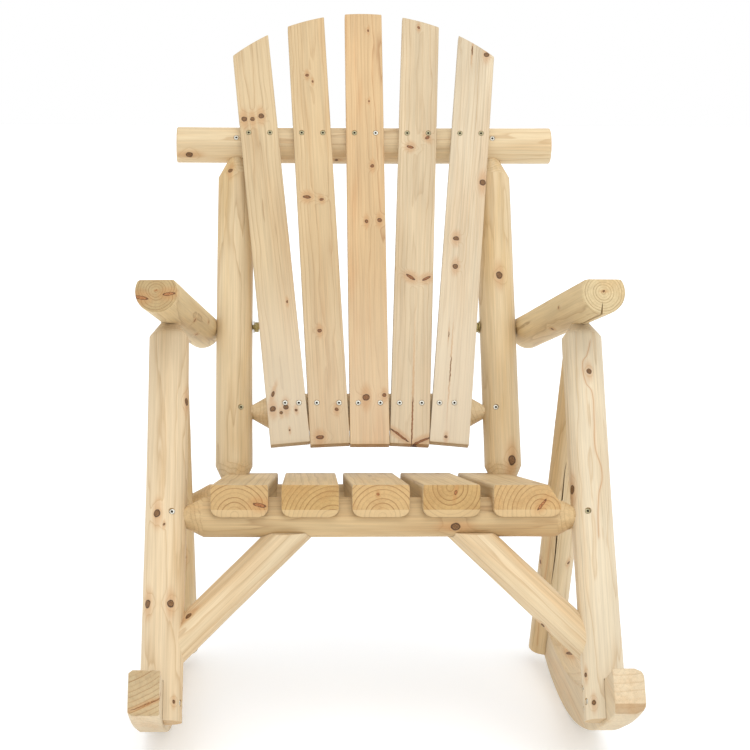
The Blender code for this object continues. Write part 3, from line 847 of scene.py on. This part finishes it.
def rocker_mesh(name, side, grow, thickness, rounding, stretch=0.0):
    """In the rocker's own axes: X out, Z back. Y is up or down, whichever makes the frame right-handed."""
    to_local = rocker_place(side).inverted()

    def place(a, b, c):
        radius = ROCKER_RADIUS + grow - (ROCKER_DEPTH + 2 * grow) * b
        off = max(0.0, rounding - b * ROCKER_DEPTH, rounding - (1 - b) * ROCKER_DEPTH)
        reach = thickness - rounding + math.sqrt(max(0.0, rounding**2 - off**2)) if rounding else thickness
        first, last = ROCKER_FIRST - stretch, ROCKER_LAST + stretch
        angle = first + (last - first) * c
        if c == 0 and not stretch:
            angle += END_CHAMFER / ROCKER_RADIUS * max(0.0, 1 - b / 0.2)
        x = side * (ROCKER_INNER_X - grow + (reach + grow) * a)
        return to_local @ Vector((x, radius * math.sin(angle), ROCKER_CENTRE - radius * math.cos(angle)))

    return block_grid(name, (6, 14, 60), place)


TRIM_CLEAR, TRIM_DEPTH, TRIM_STRETCH = 0.006, 0.10, 0.15
TRIM_INNER_X, TRIM_WIDTH = 0.22, 0.13


def ground_trim(name, side):
    """Cutter below the arc that ends the legs just above the rocker's underside."""
    def place(a, b, c):
        radius = ROCKER_RADIUS - TRIM_CLEAR + TRIM_DEPTH * b
        angle = ROCKER_FIRST - TRIM_STRETCH + (ROCKER_LAST - ROCKER_FIRST + 2 * TRIM_STRETCH) * c
        height = ROCKER_CENTRE - radius * math.cos(angle)
        return Vector((side * (TRIM_INNER_X + TRIM_WIDTH * a), radius * math.sin(angle), height))

    return cutter(name, block_grid(name, (1, 1, 40), place), Matrix.Identity(4))


# ---- cracks
def crack(name, place, length, width, depth, wander, seed):
    """Cutter for a drying crack in the plane local X-Z: X goes into the wood, Z along it."""
    shape = bmesh.new()
    count = 14
    rows = []
    for step in range(count + 1):
        part = step / count
        half = 0.5 * width * math.sin(math.pi * min(max(part, 0.02), 0.98)) ** 0.6
        drift = wander * noise.noise(Vector((part * 3.0, seed, 0.0)))
        z = length * part
        corners = (0.004, drift - half, z), (0.004, drift + half, z), (-depth, drift, z)
        rows.append([shape.verts.new(corner) for corner in corners])
    for low, high in zip(rows, rows[1:]):
        for k in range(3):
            shape.faces.new((low[k], low[(k + 1) % 3], high[(k + 1) % 3], high[k]))
    shape.faces.new(rows[0])
    shape.faces.new(rows[-1])
    return cutter(name, to_mesh(name, shape), place)


# ---- screw places
SPOTS = {}


def spot(name, owner, point, inward, length, nodes=True):
    """Remember a screw: its hole is cut in owner, and its piece is added after."""
    SPOTS[name] = (owner, Vector(point), Vector(inward).normalized(), length, nodes)


SLAT_FACE = BACK_RAIL_RADIUS + GAP + SLAT_THICKNESS
for number in range(1, 6):
    for row, height in (("lower", 0.0), ("upper", BACK_REACH)):
        offsets = OUTER_OFFSETS.get(number, SCREW_OFFSETS) if row == "lower" else SCREW_OFFSETS
        for mark, offset in zip("ab", offsets):
            across = slat_line(number - 3, height) + offset
            spot("slat_screw_%s_%d%s" % (row, number, mark), "back_slat_%d" % number,
                 back_point(across, height, SLAT_FACE), -BACK_FRONT, 0.042)
for label, side in SIDES.items():
    spot("top_rail_screw_" + label, "top_rail", back_point(side * POST_X, BACK_REACH, BACK_RAIL_RADIUS),
         -BACK_FRONT, 0.046)
    inset = 0.010
    spot("lower_rail_screw_" + label, "back_post_" + label,
         back_point(side * (POST_X - inset), 0.0, math.sqrt(LOG_RADIUS**2 - inset**2)), -BACK_FRONT, 0.034)
    inset = 0.0105
    head = v3(side * (LEG_X - inset), FRONT_RAIL_AXIS) + LEG_FRONT * math.sqrt(LOG_RADIUS**2 - inset**2)
    spot("front_rail_screw_" + label, "front_leg_" + label, head, -LEG_FRONT, 0.038)
    foot = v3(side * LEG_X, FRONT_FOOT)
    for mark, rise, ahead in (("", 0.085, 0.0), ("_b", 0.066, 0.010), ("_c", 0.058, -0.002)):
        out = math.sqrt(LOG_RADIUS**2 - ahead**2)
        spot("rocker_screw_" + label + mark, "front_leg_" + label,
             foot + LEG_UP * rise + LEG_FRONT * ahead - Vector((side * out, 0, 0)), (side, 0, 0), 0.050,
             not mark)

SEAT_FRONT_Y, SEAT_BACK_Y, SEAT_FRONT_Z, SEAT_BACK_Z = -0.180, 0.185, 0.342, 0.346
SEAT_PITCH_FRONT, SEAT_PITCH_BACK = 0.0935, 0.0865
WIDE_SLAT = 5
WIDE_SLAT_EXTRA = 0.014
WANE_WIDTH, WANE_HEIGHT = 0.017, 0.026


def seat_frame(number):
    """Local Z runs back along the slat, X across it and Y down, from the middle of its front top edge."""
    place = number - 3
    extra = WIDE_SLAT_EXTRA / 2 if number == WIDE_SLAT else 0.0
    start = Vector((place * SEAT_PITCH_FRONT + extra, SEAT_FRONT_Y, SEAT_FRONT_Z))
    end = Vector((place * SEAT_PITCH_BACK + extra, SEAT_BACK_Y, SEAT_BACK_Z))
    return pole_frame(start, end, Vector((1, 0, 0))), (end - start).length


SEAT_SCREW_BACK = 0.338
SEAT_SCREWS = {1: (0.017,), 2: (-0.018, 0.017), 3: (-0.017, 0.018), 4: (-0.019, 0.016), 5: (-0.016,)}
for number, offsets in SEAT_SCREWS.items():
    seat_place, _ = seat_frame(number)
    for mark, offset in zip("ab", offsets):
        point = seat_place @ Vector((offset, 0, SEAT_SCREW_BACK))
        spot("seat_screw_%d%s" % (number, mark), "seat_slat_%d" % number, point, seat_place.col[1].xyz,
             0.050, False)


def sunk_in(owner):
    return DEEP if owner.startswith("seat_slat") else SUNK


def holes_in(owner):
    spots = [(point, inward) for name, (o, point, inward, _, _) in SPOTS.items() if o == owner]
    return [screw_holes(owner + "_holes", spots, sunk_in(owner))] if spots else []


# ---- make the poles
# Each knot is (height, degrees, radius): millimetres, and degrees round from the side that local X faces.
POLE_KNOTS = {
    "front_leg_left": [
        (315.6, -19, 4.2), (299.8, 1, 1.4), (194.2, -44, 4.4), (192.7, 24, 4), (479.5, 67, 4),
        (65, 40, 2),
    ],
    "front_leg_right": [(518.3, 5, 3), (353.6, -71, 4.8), (100, -62, 2.4), (62, -40, 2.6)],
    "back_post_left": [(528.4, -20, 3), (150, 100, 3)],
    "back_post_right": [(353.4, 5, 4.4), (60, 24, 5.6)],
    "top_rail": [(20, 40, 4.2), (250, 60, 2)],
    "seat_front_rail": [(380.6, 26, 5), (160, 80, 3)],
    "seat_rear_rail": [(200, 160, 4), (420, 100, 4)],
    "armrest_left": [(191.4, 122, 2.6), (305.9, 96, 2.2), (279.9, 151, 2.4)],
    "armrest_right": [(128.7, -99, 1.6), (217, -146, 2.6), (290, 0, 4)],
    "rear_leg_left": [(300, 20, 5), (480, -120, 4)],
    "rear_leg_right": [(274.7, -74, 2.6), (286.5, 34, 2.4), (520, 150, 5)],
    "brace_left": [(57.4, -51, 3.6)],
    "brace_right": [(79.8, -86, 2.4)],
}
LOOKS = {
    "front_leg_left": LEG_LOOK, "front_leg_right": PALE_LEG_LOOK, "rear_leg": POST_LOOK,
    "back_post": POST_LOOK, "armrest_left": dict(ARM_LOOK, end=(214, 206, 192), knot=(186, 128, 78)),
    "armrest_right": dict(ARM_LOOK, end=(248, 248, 246)),
    "brace": BRACE_LOOK, "seat": SHADED_SEAT_RAIL_LOOK, "top": RAIL_LOOK, "lower": RAIL_LOOK,
}
RESIN_PATHS = {
    "front_leg_right": [
        (0.275, 2), (0.339, 10), (0.371, 25), (0.408, 9), (0.446, 11), (0.488, 10), (0.502, -6), (0.531, -11),
        (0.542, 2), (0.570, 18),
    ],
    "rear_leg_right": [(0.10, -40), (0.20, -46), (0.30, -40), (0.38, -44)],
}
BRANCHES = {
    "armrest_left": [
        ((-0.0085, -0.0200, 0.0), (math.pi / 2, 0, 1.75), (0.0085, 0.014, 0.0023), 0.0, 0.003),
        ((-0.0036, 0.0170, 0.0), (math.pi / 2, 0, 1.45), (0.0075, 0.014, 0.0020), 0.0, 0.003),
        ((0.0012, 0.0, 0.0), (math.pi / 2, 0, 0), (0.0009, 0.014, 0.0009), 0.0, 0.001),
    ],
    "armrest_right": [((0.001, 0.0, 0.0), (math.pi / 2, 0, 0), (0.0014, 0.014, 0.0014), 0.0, 0.001)],
}
BENDS = {"front_leg_left": 0.0014, "front_leg_right": -0.0012, "back_post_left": -0.0010, "top_rail": 0.0006}
FLATS = {
    "armrest_left": [(0.0, 0.0152)],
    "armrest_right": [(0.0, 0.0170)],
    "brace": [(math.radians(-62), BRACE_RADIUS - 0.0030)],
    "seat_front": [(math.radians(-32), FRONT_RAIL_RADIUS - 0.0026)],
}


def first_match(table, name, default):
    for key in table:
        if name.startswith(key):
            return table[key]
    return default


def brace_trim(top):
    """Cutter above the sloping cut that ends a brace in front of the seat rail."""
    def place(a, b, c):
        back = 0.2 * b - 0.1
        return Vector((top.x + 0.2 * a - 0.1, top.y + back, BRACE_TOP_CUT + 0.17 * back + 0.1 * c))

    return cutter("brace_trim", block_grid("brace_trim", (1, 1, 1), place), Matrix.Identity(4))


# Each crack is (degrees round the pole, the pole's radius, height of its foot, its own sizes).
CRACKS = {
    "rear_leg_right": (
        -18, REAR_LEG_RADIUS, 0.245, dict(length=0.245, width=0.0030, depth=0.014, wander=0.004, seed=3)
    ),
    "armrest_right": (
        186, LOG_RADIUS, -0.050, dict(length=0.165, width=0.0036, depth=0.015, wander=0.003, seed=5)
    ),
}
ROOM_THICKNESS = 0.07
ROOM_STRETCH = 0.02
rocker_rooms = {}
trims = {}
for label, side in SIDES.items():
    name = "rocker_room_" + label
    mesh = rocker_mesh(name, side, GAP, ROOM_THICKNESS, 0.0, ROOM_STRETCH)
    rocker_rooms[label] = cutter(name, mesh, rocker_place(side))
    trims[label] = ground_trim("ground_trim_" + label, side)

for seed, (name, (start, end, facing, profile)) in enumerate(POLES.items()):
    label = name.rsplit("_", 1)[-1]
    cuts = []
    if name.startswith("front_leg"):
        cuts = [rocker_rooms[label], trims[label], ROOMS["seat_front_rail"]]
    elif name.startswith("rear_leg"):
        cuts = [rocker_rooms[label], trims[label], ROOMS["front_leg_" + label], ROOMS["seat_rear_rail"]]
    elif name.startswith("armrest"):
        cuts = [ROOMS["front_leg_" + label], ROOMS["back_post_" + label]]
    elif name.startswith("back_post"):
        cuts = [ROOMS["lower_back_rail"]]
    elif name.startswith("brace"):
        cuts = [ROOMS["front_leg_" + label], ROOMS["seat_front_rail"], brace_trim(end)]
    elif name in ("seat_rear_rail", "top_rail"):
        cuts = [ROOMS["back_post_left"], ROOMS["back_post_right"]]
    if name in CRACKS:
        degrees, radius, foot, sizes = CRACKS[name]
        at = pole_frame(start, end, facing) @ Matrix.Rotation(math.radians(degrees), 4, "Z")
        at = at @ Matrix.Translation((radius, 0, foot))
        cuts.append(crack(name + "_crack", at, **sizes))
    cuts += holes_in(name)
    pole(
        name, start, end, facing, profile, first_match(LOOKS, name, POST_LOOK), POLE_KNOTS.get(name, ()),
        first_match(FLATS, name, ()), BENDS.get(name, 0.0), cuts, seed + 1,
    )

ROCKER_LOOK = look((210, 190, 156), (166, 130, 86), (200, 164, 118), 0.5)
ROCKER_ENDS = {
    "left": dict(end=(226, 220, 206), knot=(176, 126, 72), pith=(0.070, 0.263, 0), spacing=0.0052,
                 contrast=1.1),
    "right": dict(end=(262, 262, 264), pith=(0.0, -0.450, 0), spacing=0.0090, contrast=0.3,
                  band=-0.1405, band_colour=(150, 108, 58)),
}
ROCKER_KNOTS = {
    "left": [((0.02, 0.03, 0.08), (0, 0, 0), (0.005, 1, 0.006), 0.0, 0.004),
             ((0.014, 0.1425, -0.415), (math.pi / 2, 0, math.radians(-20)), (0.020, 0.03, 0.0007),
              0.0, 0.001)],
    "right": [((0.02, -0.03, 0.08), (0, 0, 0), (0.005, 1, 0.006), 0.0, 0.004)],
}
for label, side in SIDES.items():
    name = "rocker_" + label
    mesh = rocker_mesh(name, side, 0.0, ROCKER_THICKNESS, ROUNDING[label])
    material = fir(name, **ROCKER_LOOK, **ROCKER_ENDS[label], seed=20 + side, wave=0.03,
                   knots=ROCKER_KNOTS[label])
    add_piece(name, mesh, rocker_place(side), material, [name], bevel=0.0022)


# ---- back slats
def slat_frame(number):
    """Local X across, Y back and Z up the slat, from the middle of its foot."""
    place = number - 3
    tilt = place * SLAT_FAN
    half_length = (SLAT_RISE + SLAT_DROP) / 2
    centre_height = (SLAT_RISE - SLAT_DROP) / 2
    up = Vector((1, 0, 0)) * math.sin(tilt) + BACK_UP * math.cos(tilt)
    across = Vector((1, 0, 0)) * math.cos(tilt) - BACK_UP * math.sin(tilt)
    proud = BACK_RAIL_RADIUS + GAP + SLAT_THICKNESS / 2
    centre = back_point(slat_line(place, centre_height), centre_height, proud)
    return axes(centre - up * half_length, across, -BACK_FRONT, up)


def slat_top(number):
    """How long the slat is at each place across it, up to the arch."""
    place = number - 3
    tilt = place * SLAT_FAN
    along = Vector((math.sin(tilt), math.cos(tilt)))
    across = Vector((math.cos(tilt), -math.sin(tilt)))
    centre_height = (SLAT_RISE - SLAT_DROP) / 2
    foot = Vector((slat_line(place, centre_height), centre_height)) - along * (SLAT_RISE + SLAT_DROP) / 2
    hub = Vector((0, SLAT_RISE - ARCH_RADIUS))

    def length_at(x):
        rel = foot + across * x - hub
        dot = rel.dot(along)
        return -dot + math.sqrt(dot * dot - (rel.length_squared - ARCH_RADIUS**2))

    return length_at


def slat_mesh(name, number):
    length_at = slat_top(number)

    def place(a, b, c):
        x = (2 * a - 1) * SLAT_WIDTH / 2
        z = c * length_at(x)
        cup = 0.00035 * noise.noise(Vector((number * 3.7, z * 2.2, a * 0.8)))
        edge = 1 + 0.004 * noise.noise(Vector((number * 1.9, z * 5, 4.4)))
        return Vector((x * edge, (b - 0.5) * (SLAT_THICKNESS - 0.0008) + cup, z))

    return block_grid(name, (12, 4, 90), place)


def board_knot(x, z, width, height, degrees=0.0):
    centre = (x / 1000, 0, z / 1000)
    return (centre, (0, math.radians(degrees), 0), (width / 1000, 1.0, height / 1000), 0.0, 0.006)


# The foot-lightening value in each look is painted light: it makes the slat paler towards its foot, where
# shade from the seat falls.
SLAT_LOOKS = {
    1: look((201, 178, 140), (162, 128, 86), (192, 158, 114), 0.5,
            pith=(-0.004, 0.055, 0), bleach=0.6),
    2: look((203, 177, 136), (160, 122, 78), (188, 148, 98), 0.6,
            pith=(0.006, 0.05, 0), knot=(146, 98, 54), bleach=0.3),
    3: look((207, 176, 132), (170, 126, 82), (199, 150, 100), 0.8,
            pith=(0.03, 0.08, 0), knot=(146, 98, 54), bleach=0.3),
    4: look((207, 186, 152), (166, 132, 90), (192, 160, 118), 0.6,
            pith=(0.002, 0.06, 0), knot=(156, 100, 56), bleach=0.25),
    5: look((208, 191, 162), (172, 142, 102), (198, 168, 130), 0.4,
            pith=(-0.03, 0.07, 0), bleach=0.55),
}
# Each knot is (across, up, half width, half height) in millimetres from the middle of the slat's foot,
# and how far it is turned, in degrees.
SLAT_KNOTS = {
    1: [
        (-21.5, 531, 3.8, 3.8), (-8.5, 530, 3.1, 3.2), (5.5, 534, 3.8, 3.6), (-18.5, 78, 2, 4.5, 20),
        (-21, 55, 4, 3.7), (-1.2, 56, 3.4, 3.4), (-9, 48, 2.3, 2.1), (13.5, 50, 2, 1.8),
        (16.5, 222, 1.4, 2), (1, 20, 1.2, 1.4),
    ],
    2: [
        (-3, 605, 2.4, 2.2), (5, 594, 1.3, 2), (-14, 397, 5.5, 2.4, 8), (8, 392, 2.8, 2, -15),
        (-6, 178, 2.8, 2.6), (12.5, 53, 2.6, 2.5), (-14.5, 11, 5.2, 2.8),
    ],
    3: [
        (7.5, 684, 1.2, 2), (10.5, 449, 2.5, 2.6), (0, 356, 2.4, 2.8), (20.5, 358, 3, 3),
        (-4.7, 72.5, 4.5, 4.5), (22.5, 76, 2.6, 2.6), (7, 560, 1.2, 1.6),
    ],
    4: [
        (-3, 690, 2, 2), (-11, 481, 4.8, 2.2, 12), (15, 498, 3.4, 2.4, -30), (-5, 264, 7.2, 2.2, 32),
        (19, 263, 6.5, 2, -28), (-15, 12.5, 15, 1.6, 36), (17, 5, 13.5, 1.7, -26), (3, 35, 0.9, 34),
    ],
    5: [
        (17, 645, 3.6, 3.6), (24, 424, 4.2, 4.6), (-11, 327, 4, 3), (-9, 281, 3.6, 3.4), (-5.5, 9, 2, 2),
        (-6, 650, 0.8, 7), (-12, 170, 0.6, 4), (-6, 115, 0.6, 18),
    ],
}
for number in range(1, 6):
    name = "back_slat_%d" % number
    material = fir(name, **SLAT_LOOKS[number], seed=30 + number, wave=0.008, spacing=0.0020, contrast=0.95,
                   knots=[board_knot(*knot) for knot in SLAT_KNOTS[number]])
    add_piece(name, slat_mesh(name, number), slat_frame(number), material, [name],
              holes_in(name), 0.0012)


# ---- seat slats
SEAT_ROUNDING = 0.013
TOP_EASE, TOP_EASE_HEIGHT = 0.0012, 0.004
BAND = 0.0335
UNDERCUT = 0.30


def seat_mesh(name, number):
    _, length = seat_frame(number)
    width = SEAT_WIDTH + (WIDE_SLAT_EXTRA if number == WIDE_SLAT else 0.0)

    def place(a, b, c):
        y = SEAT_THICKNESS * b
        off = max(0.0, y - (SEAT_THICKNESS - SEAT_ROUNDING))
        half = width / 2 - SEAT_ROUNDING + math.sqrt(max(0.0, SEAT_ROUNDING**2 - off**2))
        top = max(0.0, TOP_EASE_HEIGHT - y)
        half -= TOP_EASE * (top / TOP_EASE_HEIGHT) ** 2
        right = half
        if number == WIDE_SLAT:
            right = min(half, width / 2 - WANE_WIDTH * (1 - y / WANE_HEIGHT))
        x = -half + (half + right) * a
        z = length * c
        if c < 0.5:
            z += UNDERCUT * max(0.0, y - BAND) * (1 - 2 * c)
        sag = 0.0003 * noise.noise(Vector((number * 2.3, z * 3.0, a)))
        return Vector((x, y + 0.0005 + (sag if b < 0.9 else 0.0), z))

    return block_grid(name, (16, 18, 60), place)


SEAT_LOOK = look((203, 179, 137), (140, 103, 60), (188, 154, 108), 0.5, knot=(184, 122, 72))
SEAT_ENDS = {2: (234, 217, 184), 4: (234, 216, 184)}
SEAT_PITHS = {
    1: (-0.006, 0.041, 0), 2: (0.030, 0.050, 0), 3: (0.002, 0.042, 0), 4: (-0.002, 0.004, 0),
    5: (0.020, 0.036, 0),
}


def end_knot(x, y, long, short, degrees):
    """A knot seen on a plank's front end."""
    return ((x, y, 0.0), (math.pi / 2, 0, math.radians(degrees)), (long, 0.015, short), 0.0, 0.002)


SEAT_KNOTS = {
    1: [end_knot(0.0270, 0.0270, 0.0080, 0.0024, 12)],
    3: [end_knot(-0.0042, 0.0127, 0.0018, 0.0014, 0)],
    4: [end_knot(0.0050, 0.0110, 0.0017, 0.0030, 10)],
    5: [end_knot(0.0190, 0.0270, 0.0085, 0.0017, -52)],
}
for number in range(1, 6):
    name = "seat_slat_%d" % number
    seat_place, _ = seat_frame(number)
    cuts = [ROOMS["seat_front_rail"], ROOMS["seat_rear_rail"]]
    if number == 1:
        cuts.append(ROOMS["back_post_left"])
    if number == 5:
        cuts.append(ROOMS["back_post_right"])
    material = fir(name, **SEAT_LOOK, end=SEAT_ENDS.get(number, (248, 233, 210)), seed=40 + number,
                   pith=SEAT_PITHS[number], spacing=0.0060, wave=0.010, contrast=0.75, band=BAND,
                   knots=SEAT_KNOTS.get(number, ()))
    add_piece(name, seat_mesh(name, number), seat_place, material, [name],
              cuts + holes_in(name), 0.0016)


# ---- screws, bolts, washers and nuts
for count, (name, (owner, point, inward, length, replaced)) in enumerate(SPOTS.items()):
    add_screw(name, point, inward, length, 0.9 * count, [name] if replaced else (), sunk_in(owner))

BOLT_HEIGHT = 0.5665
BOLT_HEAD = 0.0035
BOLT_NECK, BOLT_NECK_RADIUS = 0.010, 0.0040
BOLT_PITCH, BOLT_STEP, BOLT_THREAD = 0.00125, 0.0004, 0.030
BORE_RADIUS = 0.0043
WASHER_RADIUS, WASHER_THICKNESS = 0.0095, 0.0015
NUT_FLAT, NUT_CORNER, NUT_EDGE, NUT_THICKNESS = 0.0066, 0.0077, 0.0068, 0.0065
bolt_y = POST_BASE.x + (BOLT_HEIGHT - POST_BASE.y) * BACK_UP.y / BACK_UP.z
BOLT_OUT = ARM_BACK_END[0] + LOG_RADIUS + BOLT_HEAD
BOLT_IN = POST_X - LOG_RADIUS
BOLT_LENGTH = BOLT_OUT - BOLT_IN + 0.010


def bolt_profile():
    head = [(0.0, 0.0030), (0.0005, 0.0058), (0.0014, 0.0078), (0.0026, 0.0088), (BOLT_HEAD, 0.0089)]
    body = head + [(BOLT_HEAD, BOLT_NECK_RADIUS), (BOLT_NECK, BOLT_NECK_RADIUS)]
    height = BOLT_NECK
    while height < BOLT_LENGTH - 0.0015:
        height += BOLT_STEP
        body.append((height, 0.0038))
    return body + [(BOLT_LENGTH, 0.0031)]


def bolt_thread(radius, angle, height):
    if height < BOLT_LENGTH - BOLT_THREAD or radius < 0.0035:
        return radius
    phase = (height / BOLT_PITCH - angle / math.tau) % 1.0
    return radius - 0.0004 * abs(2 * phase - 1)


def hexagon(radius, angle, height):
    flat = NUT_FLAT / math.cos((angle + math.pi / 6) % (math.pi / 3) - math.pi / 6)
    return min(flat, radius)


WASHER_PROFILE = fine([(0.0, WASHER_RADIUS), (WASHER_THICKNESS, WASHER_RADIUS)], 0.002, 0.0004)
NUT_PROFILE = [(0.0, NUT_EDGE), (0.0009, NUT_CORNER), (0.0056, NUT_CORNER), (NUT_THICKNESS, NUT_EDGE)]
for label, side in SIDES.items():
    inward = Vector((-side, 0, 0))
    start = Vector((side * BOLT_OUT, bolt_y, BOLT_HEIGHT))
    face = Vector((side * (BOLT_IN - GAP), bolt_y, BOLT_HEIGHT))
    nut_face = face + inward * (WASHER_THICKNESS + GAP)
    bolt = lathe("arm_bolt_" + label, bolt_profile(), 28, bolt_thread)
    washer = lathe("arm_washer_" + label, WASHER_PROFILE, 40)
    nut = lathe("arm_nut_" + label, NUT_PROFILE, 72, hexagon)
    bore = lathe("bore", [(-0.01, BORE_RADIUS), (0.03, BORE_RADIUS)], 32)
    bore = cutter("bore_" + label, bore, screw_frame(face, inward))
    for name, mesh, point, cuts in (("arm_bolt_", bolt, start, ()), ("arm_washer_", washer, face, [bore]),
                                    ("arm_nut_", nut, nut_face, [bore])):
        name += label
        add_piece(name, mesh, screw_frame(point, inward), BRASS, [name], cuts)

for tool in list(cutters.objects):
    bpy.data.objects.remove(tool, do_unlink=True)
scene.collection.children.unlink(cutters)

# ---- camera, floor and light
CAMERA_AT = Vector((-0.140, -2.75, 0.44))
FOCAL = 93.6
TURN_RIGHT = math.radians(1.47)
LOOK_UP = math.radians(1.03)
lens = bpy.data.cameras.new("camera")
lens.lens = FOCAL
lens.sensor_width = 36.0
lens.shift_x = 0.0667
lens.clip_end = 200.0
camera = bpy.data.objects.new("camera", lens)
scene.collection.objects.link(camera)
aim = Matrix.Rotation(-TURN_RIGHT, 4, "Z") @ Matrix.Rotation(math.pi / 2 + LOOK_UP, 4, "X")
camera.matrix_world = DESIGN @ Matrix.Translation(CAMERA_AT) @ aim
scene.camera = camera

FLOOR_HALF = 40.0
shape = bmesh.new()
bmesh.ops.create_grid(shape, x_segments=8, y_segments=8, size=FLOOR_HALF)
floor = bpy.data.objects.new("floor", to_mesh("floor", shape))
scene.collection.objects.link(floor)
pale, pale_net, pale_shader = new_material("pale_floor")
pale_net.fill(pale_shader, {
    "Base Color": (0.905, 0.92, 0.94, 1.0), "Roughness": 0.6,
    "Emission Color": (0.86, 0.93, 1.0, 1.0), "Emission Strength": 0.22,
})
floor.data.materials.append(pale)
floor.location = (0, 0, -0.0005)

world = bpy.data.worlds.new("studio")
scene.world = world
world.use_nodes = True
sky = world.node_tree.nodes["Background"]
sky.inputs["Color"].default_value = (1.0, 1.0, 1.0, 1.0)
sky.inputs["Strength"].default_value = 1.0


def sun(name, direction, strength, spread):
    """A soft lamp far away, shining along direction."""
    lamp = bpy.data.lights.new(name, "SUN")
    lamp.energy = strength
    lamp.angle = math.radians(spread)
    holder = bpy.data.objects.new(name, lamp)
    scene.collection.objects.link(holder)
    holder.rotation_mode = "QUATERNION"
    holder.rotation_quaternion = Vector(direction).to_track_quat("-Z", "Y")


sun("key", (-0.10, 0.75, -1.0), 0.9, 35)
scene.view_settings.view_transform = "Standard"
